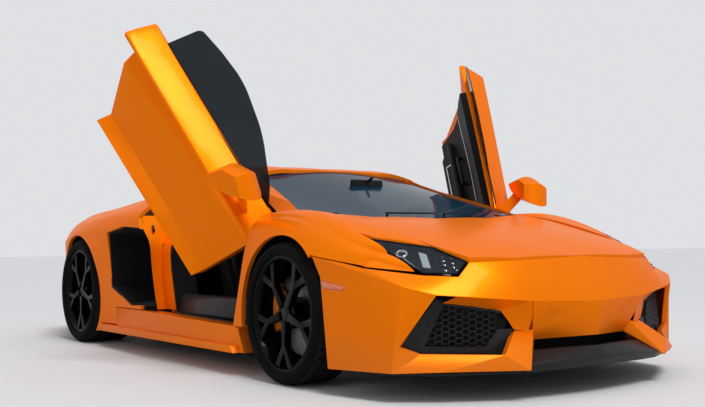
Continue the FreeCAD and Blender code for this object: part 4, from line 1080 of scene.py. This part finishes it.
seat_shell = merged_copy("seats", "seat_shells")
edit(seat_shell, "VERT")
for vertex in bmesh.from_edit_mesh(seat_shell.data).verts:
    vertex.select_set(vertex.co.z > 0.245 and vertex.co.x > -0.02)
bpy.ops.transform.resize(value=(0.94, 1, 0.80), center_override=(0.20, 0, 0.17))
rounded(let_go(seat_shell), 0.012, 3, 35)
finished(seat_shell, satin_black, "chassis", "seat_shells", 35)
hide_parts("seats")
for pad, name in ((cushion, "seat_cushion"), (back, "seat_back")):
    twin = other_side(pad)
    finished(pad, seat_leather, "chassis", name + "_left", 60)
    finished(twin, seat_leather, "chassis", name + "_right", 60)
    print(name, "faces:", len(pad.data.polygons))

# %% [markdown]
# ## Cabin
#
# The dashboard and the steering wheel keep their solids' shapes with rounded edges, and get the parts a
# driver sees: the dials' hood, the middle screen, vents, a row of switches and the wheel's padded boss.

# %% Dashboard and steering wheel
board = rounded(merged_copy("dashboard", "dashboard_cover"), 0.010, 3, 35)
finished(board, suede, "chassis", "dashboard_cover", 35)
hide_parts("dashboard")

dial_hood = [plate([(772, 250, 735), (772, 490, 735), (800, 480, 758), (800, 262, 758)], (-0.6, 0, 0.8),
                   0.006, 0.002),
             bar((778, 256, 664), (778, 256, 742), 26, 12, 0.004),
             bar((778, 488, 664), (778, 488, 742), 26, 12, 0.004),
             bar((778, 250, 664), (778, 494, 664), 22, 10, 0.004)]
finished(joined(dial_hood), leather, "chassis", "dial_hood")
dials = plate([(768, 262, 670), (768, 482, 670), (764, 482, 732), (764, 262, 732)], (-1, 0, 0), 0.003, 0.001)
screen = plate([(776, -88, 640), (776, 88, 640), (760, 88, 712), (760, -88, 712)], (-1, 0, 0.1), 0.005, 0.0015)
finished(joined([dials, screen]), gloss_black, "chassis", "dial_and_middle_screens")

vents = []
for y in (-430, -150, 150):
    for z in range(616, 661, 11):
        vents.append(bar((771, y - 42, z), (771, y + 42, z), 12, 3, 0.001))
    for start, end in (((-46, 608), (-46, 668)), ((46, 608), (46, 668)), ((-46, 607), (46, 607))):
        vents.append(bar((776, y + start[0], start[1]), (776, y + end[0], end[1]), 14, 6, 0.002))
for y in range(-78, 79, 26):
    vents.append(bar((660, y, 452), (684, y, 474), 18, 8, 0.003))
finished(joined(vents), satin_black, "chassis", "vents_and_switches")
console_trim = [bar((-150, y, 394), (590, y, 402), 5, 6, 0.002) for y in (-98, 98)]
console_trim.append(rod((420, 0, 396), (420, 0, 412), 34, 0.004, 40))
finished(joined(console_trim), bright_metal, "chassis", "console_trim")

wheel = rounded(merged_copy("steering_wheel", "wheel_cover"), 0.004, 2, 50)
finished(wheel, leather, "steering_wheel", "wheel_cover", 50)
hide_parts("steering_wheel")
COLUMN_TILT = math.radians(22)
toward = Vector((-math.cos(COLUMN_TILT), 0, math.sin(COLUMN_TILT)))
centre = Vector((620, 370, 700))
boss = rod(centre - toward * 2, centre + toward * 16, 58, 0.008, 6)
finished(boss, leather, "steering_wheel", "wheel_boss", 40)
print("cabin parts made")

# %% Inner mirror and wipers
inner_mirror = bar((640, -112, 1000), (640, 112, 1000), 26, 54, 0.010)
inner_stalk = bar((650, 0, 1012), (700, 0, 1036), 16, 12, 0.003)
finished(joined([inner_mirror, inner_stalk]), satin_black, "chassis", "inner_mirror")
arms = rounded(merged_copy("wipers", "wiper_arms"), 0.0018, 2, 35)
finished(arms, satin_black, "chassis", "wiper_arms", 35)
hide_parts("wipers")
print("inner mirror and wipers made")

# %% [markdown]
# ## Doors
#
# The doors stand open, so their inside shows. It is easier to place a handle on a shut door, so each
# part is made there and then swung open about the hinge, by the angle and the axis in the record. The pane
# is the solid's own, with the corners along its upper edge rounded: tightly at the rear, widely elsewhere.

# %% Door linings
hinge = next(joint for joint in frame["record"]["behaviour"]["joints"] if joint["name"] == "close_door_left")
hinge_place, hinge_axis = Vector(hinge["pos_m"]), Vector(hinge["axis"])
DOOR_TURN = (Matrix.Translation(hinge_place) @ Matrix.Rotation(-math.radians(hinge["range_deg"][1]), 4, hinge_axis)
             @ Matrix.Translation(-hinge_place))


def on_both_doors(piece, finish, name):
    """Swing a shut left door's part open, and put its mirror image on the right door."""
    piece.matrix_world = DOOR_TURN @ piece.matrix_world
    settled(piece)
    finished(other_side(piece), finish, "door_right", name + "_right")
    finished(piece, finish, "door_left", name + "_left")


def lining(x, z, out=0.0):
    """A place on the shut door's lining, raised inwards by out."""
    low, high = ((285, 833), (600, 812)) if z < 600 else ((600, 812), (800, 735))
    y = low[1] + (high[1] - low[1]) * (z - low[0]) / (high[0] - low[0]) + (x + 200) / 96
    return (x, y - out, z)


handle = [bar(lining(150, 545, 34), lining(390, 545, 34), 16, 24, 0.006),
          bar(lining(158, 545), lining(158, 545, 40), 18, 22, 0.004),
          bar(lining(382, 545), lining(382, 545, 40), 18, 22, 0.004),
          bar(lining(-40, 470, 22), lining(460, 470, 22), 40, 34, 0.012)]
on_both_doors(joined(handle), leather, "door_handle_and_rest")
pocket = [(60, 340), (560, 330), (600, 410), (100, 425)]
frame_bars = [bar(lining(*start, 3), lining(*end, 3), 7, 9, 0.002)
              for start, end in zip(pocket, pocket[1:] + pocket[:1])]
on_both_doors(joined(frame_bars), bright_metal, "door_pocket_frame")
piping_line = [(-150, 640), (330, 640), (700, 600)]
piping_bars = [bar(lining(*start, 2), lining(*end, 2), 4, 4, 0.0012)
               for start, end in zip(piping_line, piping_line[1:])]
on_both_doors(joined(piping_bars), bright_metal, "door_piping")

belt_seal = bar((-262, 795, 838), (770, 801, 810), 9, 20, 0.003)
on_both_doors(belt_seal, satin_black, "belt_seal")

MIRROR_X, MIRROR_Z = 706, 905
glass_rows = []
for y, scale in ((935, 0.76), (1050, 0.82)):
    glass_rows.append([(MIRROR_X - 124 * scale, y, MIRROR_Z - 66 * scale),
                       (MIRROR_X - 82 * scale, y, MIRROR_Z + 28 * scale)])
(near_low, near_high), (far_low, far_high) = glass_rows
mirror_pane = thickened(plate([near_low, far_low, far_high, near_high], (-0.914, 0, 0.406), 0.0), 0.004, 1)
on_both_doors(mirror_pane, bright_metal, "mirror_pane")
print("door parts made")

# %% Door glass with rounded corners
THICKEST_GLASS, BELT_Z, REAR_CORNER_X = 0.009, 0.93, -0.15
LEAST_CORNER = math.radians(6)
for side, sign in (("left", 1), ("right", -1)):
    pane = merged_copy("door_glass_" + side, "pane")
    corners = 0
    for at_rear, width in ((True, 0.03), (False, 0.08)):
        edit(pane, "EDGE")
        for edge in bmesh.from_edit_mesh(pane.data).edges:
            middle = (edge.verts[0].co + edge.verts[1].co) / 2
            shut = DOOR_TURN.inverted() @ Vector((middle.x, middle.y * sign, middle.z))
            turns = len(edge.link_faces) == 2 and edge.calc_face_angle() > LEAST_CORNER
            on_top = edge.calc_length() < THICKEST_GLASS and shut.z > BELT_Z
            if on_top and turns and (shut.x < REAR_CORNER_X) == at_rear:
                edge.select_set(True)
                corners += 1
        bpy.ops.mesh.bevel(offset=width, segments=8, affect="EDGES")
        let_go(pane)
    finished(pane, side_glass, "door_" + side, "door_pane_" + side, 30)
    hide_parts("door_glass_" + side)
    print("pane corners rounded:", corners)

# %% [markdown]
# ## Tail
#
# Behind, the panel between the lamps is honeycomb, each lamp is a Y of red bars on black, and the
# exhaust is one hexagonal outlet round smaller pipes.

# %% Tail lamps and rear mesh
lamp_base = rounded(merged_copy("tail_lamps", "tail_lamp_bases"), 0.003, 2, 35)
finished(lamp_base, gloss_black, "chassis", "tail_lamp_bases")
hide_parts("tail_lamps")
red_lit = moulded_lens("lamp_red", 220.0, (0.50, 0.008, 0.006), (0.75, 0.02, 0.015), 0.4, Roughness=0.2,
                       Coat_Weight=0.6, Emission_Strength=0.25)
red_lit.drive(Emission_Color=red_lit.blend(red_lit.grain(60.0), (0.6, 0.01, 0.01), (0.9, 0.03, 0.02)))
red_bars = [bar((-2350, 560, 685), end, 14, 15, 0.004)
            for end in ((-2361, 425, 728), (-2361, 435, 642), (-2341, 672, 690))]
finished(with_twin(joined(red_bars)), red_lit, "chassis", "tail_lamp_bars")

rear_corners = [(-2342, -385, 602), (-2342, 385, 602), (-2342, 385, 758), (-2342, -385, 758)]
rear_comb, cells = honeycomb(rear_corners, (-1, 0, 0), 40, 27, 2.4, 5.0)
finished(rear_comb, trim_grey, "chassis", "rear_honeycomb", 20)
print("rear cells:", cells)

# %% Exhaust
outlet = rounded(merged_copy("exhaust", "exhaust_outlet"), 0.0025, 2, 35)
finished(outlet, pipe_steel, "chassis", "exhaust_outlet")
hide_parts("exhaust")
pipes = []
for y, z in ((-66, 345), (66, 345), (0, 372), (0, 318)):
    pipe = rod((-2300, y, z), (-2214, y, z), 30 if y else 20, 0, 40)
    edit(pipe)
    shape = bmesh.from_edit_mesh(pipe.data)
    min(shape.faces, key=lambda face: face.calc_center_median().x).select_set(True)
    bpy.ops.mesh.inset(thickness=0.003, depth=0)
    push(-0.07)
    pipes.append(rounded(let_go(pipe), 0.0008, 2, 35))
finished(joined(pipes), pipe_steel, "chassis", "exhaust_pipes")
print("exhaust made")

# %% [markdown]
# ## Under the louvres
#
# Daylight falls between the engine cover's louvres, so the top of the engine gets a ribbed intake box, two
# cam covers and a carbon cross.

# %% Engine top
def ribbed_box(size, place, ribs):
    """A box with this many ribs across its top, standing up between cuts of the same width."""
    bpy.ops.mesh.primitive_cube_add(size=1, location=place, scale=size)
    case = settled(bpy.context.active_object)
    edit(case)
    for index in range(1, ribs * 2):
        cut = place[0] - size[0] / 2 + size[0] * index / (ribs * 2)
        bpy.ops.mesh.select_all(action="SELECT")
        bpy.ops.mesh.bisect(plane_co=(cut, 0, 0), plane_no=(1, 0, 0))
    bpy.ops.mesh.select_mode(type="FACE")
    bpy.ops.mesh.select_all(action="DESELECT")
    shape = bmesh.from_edit_mesh(case.data)
    for face in shape.faces:
        step = int((face.calc_center_median().x - place[0] + size[0] / 2) / size[0] * ribs * 2)
        if face.normal.z > 0.9 and step % 2 == 0:
            face.select_set(True)
    push(0.008)
    return rounded(let_go(case), 0.003, 2, 35)


plenum = ribbed_box((0.52, 0.20, 0.07), (-1.00, 0, 0.792), 9)
cams = [ribbed_box((0.60, 0.15, 0.045), (-0.98, y, 0.780), 6) for y in (-0.235, 0.235)]
finished(joined([plenum] + cams), cast_alloy, "chassis", "engine_top")
brace = [bar((-700, y, 800), (-1280, -y, 790), 34, 16, 0.004) for y in (330, -330)]
finished(joined(brace), carbon, "chassis", "engine_brace")
print("engine top made")

# %% [markdown]
# ## Doorways
#
# Behind each doorway an orange jamb steps in from the side duct's front edge, far enough back for the door
# to swing past it, and then runs forward to a black lining. Below, the carbon cell's deep sill stands up
# inside the orange one. Step, face and lining are strips of plates between rows of corners, one row to each
# height. The solids' points that would show through the jamb are moved back behind it.

# %% Jambs and linings
DOOR_SWEEP, SHUT_GAP = 1236.0, 5.4
HINGE_X, HINGE_Z = 876.0, 735.0


def step_x(z):
    """Where the jamb's step stands at a height: behind the door's swing and behind its shut line."""
    swing = HINGE_X - math.sqrt(DOOR_SWEEP ** 2 - (z - HINGE_Z) ** 2)
    if z < 650:
        shut = -243 - (z - 345) * 107 / 305
    else:
        shut = -350 - (z - 650) * 80 / 180
    return min(swing, shut - SHUT_GAP)


def jamb_y(z):
    """How far out the jamb's face stands: the shut door leans in above its waist."""
    return 845 - max(0, z - 636) * 114 / 212


def doorway_x(z):
    """Where the jamb's face ends and the black lining begins."""
    levels = ((262, -150), (511, -221), (692, -245), (846, -262))
    for (z0, x0), (z1, x1) in zip(levels, levels[1:]):
        if z <= z1:
            return x0 + (x1 - x0) * (z - z0) / (z1 - z0)
    return levels[-1][1]


def strip(rows, outward, thickness):
    """Plates between neighbouring pairs of corners, as one sheet with thickness."""
    plates = [plate([a, b, d, c], outward, 0) for (a, b), (c, d) in zip(rows, rows[1:])]
    return thickened(welded(joined(plates), 0.0003), thickness)


outer_y = {274: 908, 345: 909, 420: 910, 511: 912, 600: 914, 650: 916, 700: 920, 770: 944, 846: 934}
step = strip([((step_x(z), y, z), (step_x(z), jamb_y(z) + 1, z)) for z, y in outer_y.items()], (1, 0, 0), 0.004)
face = strip([((step_x(z) - 3, jamb_y(z), z), (doorway_x(z), jamb_y(z), z)) for z in outer_y], (0, 1, 0), 0.005)
finished(with_twin(joined([step, face])), paint, "chassis", "door_jambs", 30)
lining_face = strip([((doorway_x(z) - 3, jamb_y(z) - 6, z), (doorway_x(z) - 3, 684, z)) for z in outer_y],
                    (1, 0, 0), 0.006)
finished(with_twin(lining_face), satin_black, "chassis", "jamb_linings", 30)
latch = plate([(-384, 888, 742), (-384, 874, 742), (-402, 874, 786), (-402, 888, 786)], (1, 0, 0.4), 0.004, 0.001)
striker = rod((-392, 881, 758), (-378, 881, 762), 5, 0.001, 16)
finished(with_twin(joined([latch, striker])), satin_black, "chassis", "door_latches", 30)
print("jamb levels:", len(outer_y))

# %% The post's and the duct's points behind the jamb
sill_skin = bpy.data.objects["sills_skin"]
edit(sill_skin, "VERT")
moved = 0
for vertex in bmesh.from_edit_mesh(sill_skin.data).verts:
    x, y, z = vertex.co * 1000
    if abs(y) < 861 and z > 250:
        vertex.co.x = min(x, doorway_x(z) - 34) / 1000
        vertex.co.y = math.copysign(min(abs(y), jamb_y(z) - 8), y) / 1000
        moved += 1
let_go(sill_skin)
duct_skin = merged_copy("side_ducts", "duct_skin")
for vertex in duct_skin.data.vertices:
    x, y, _ = vertex.co * 1000
    if 837 < abs(y) < 853 and x > -500:
        vertex.co.y = math.copysign(0.836, y)
finished(duct_skin, matt_black, "chassis", "side_ducts_skin", 20)
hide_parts("side_ducts")
print("post points moved:", moved)

# %% Carbon sills
SILL_SECTION = [(-830, 258), (-818, 335), (-800, 362), (-778, 370), (-748, 368), (-738, 150)]


def long_form(section, start, end, soft):
    """A bar along the car with this section, given as places across and heights in millimetres."""
    form = plate([(start, y, z) for y, z in section], (-1, 0, 0), 0)
    whole(form)
    bpy.ops.mesh.extrude_region_move(TRANSFORM_OT_translate={"value": ((end - start) / 1000, 0, 0)})
    return rounded(turned_out(form), soft, 3, 25)


inner_sill = long_form(SILL_SECTION, -150, 800, 0.006)
finished(with_twin(inner_sill), carbon, "chassis", "carbon_sills", 40)
seal = bar((-140, -868, 262), (805, -868, 243), 9, 9, 0.004)
finished(with_twin(seal), satin_black, "chassis", "sill_seals")
print("carbon sills made")

# %% Front intakes' orange walls
wall = strip([((2209, 467, 366), (2290, 362, 408)), ((2221, 438, 325), (2267, 338, 340)),
              ((2229, 412, 286), (2244, 342, 274))], (0.5, 0.85, 0.1), 0.004)
roof_band = strip([((2104, 689, 400), (2180, 664, 432)), ((2150, 590, 386), (2214, 590, 428)),
                   ((2206, 470, 364), (2264, 438, 412)), ((2211, 464, 366), (2288, 370, 404))],
                  (0.4, 0.2, -0.9), 0.003)
finished(with_twin(joined([wall, roof_band])), paint, "chassis", "intake_walls", 20)
print("intake walls made")

# %% [markdown]
# ## Floor and light
#
# A plain pale floor takes the shadow. The light is soft: a wide panel over the car for long, calm
# highlights, a second one on the side that the photograph shows, a broad sun from high in front, and a pale
# room. Eyes, reflections and glass see the room lighter than it lights the car, which keeps shadows deep.

# %% Floor
FLOOR_SIZE = 400
bpy.ops.mesh.primitive_plane_add(size=FLOOR_SIZE, location=(0, 0, 0))
floor = bpy.context.active_object
floor.name = "floor"
floor_finish = Finish("floor_pale", "tyre", Roughness=0.9)
floor_finish.tint(floor_finish.grain(6.0), (0.70, 0.70, 0.71), (0.74, 0.74, 0.75))
floor.data.materials.append(floor_finish.material)
print("floor size in metres:", FLOOR_SIZE)

# %% Lamps and room
def lamp_in_scene(name, kind, energy, direction):
    data = bpy.data.lights.new(name, kind)
    data.energy = energy
    lamp = in_scene(name, data)
    lamp.rotation_euler = direction.to_track_quat("-Z", "Y").to_euler()
    return lamp


def softbox(name, place, aim, width, depth, watts):
    lamp = lamp_in_scene(name, "AREA", watts, Vector(aim) - Vector(place))
    lamp.location = place
    lamp.data.shape = "RECTANGLE"
    lamp.data.size = width
    lamp.data.size_y = depth


softbox("top_panel", (1.6, 0.4, 5.5), (0.4, 0, 0.4), 6.0, 4.0, 45)
softbox("side_panel", (1.0, -7.5, 2.6), (0.3, 0, 0.6), 6.0, 2.0, 30)
high_lamp = lamp_in_scene("high_lamp", "SUN", 1.75, Vector((-0.46, 0.02, -0.89)))
high_lamp.data.angle = math.radians(22)

world = bpy.data.worlds.new("room")
bpy.context.scene.world = world
world.use_nodes = True
tree = world.node_tree
lighting = tree.nodes["Background"]
lighting.inputs["Color"].default_value = (0.40, 0.41, 0.43, 1)
shown_room = tree.nodes.new("ShaderNodeBackground")
shown_room.inputs["Color"].default_value = (0.74, 0.75, 0.77, 1)
choose = tree.nodes.new("ShaderNodeMixShader")
rays = tree.nodes.new("ShaderNodeLightPath").outputs
seen = Signal(tree, rays["Is Camera Ray"])
for ray in ("Is Glossy Ray", "Is Transmission Ray"):
    seen = seen.most(Signal(tree, rays[ray]))
tree.links.new(seen.socket, choose.inputs[0])
tree.links.new(lighting.outputs[0], choose.inputs[1])
tree.links.new(shown_room.outputs[0], choose.inputs[2])
tree.links.new(choose.outputs[0], tree.nodes["World Output"].inputs[0])
bpy.context.scene.view_settings.view_transform = "Standard"
print("lamps:", len(bpy.data.lights))
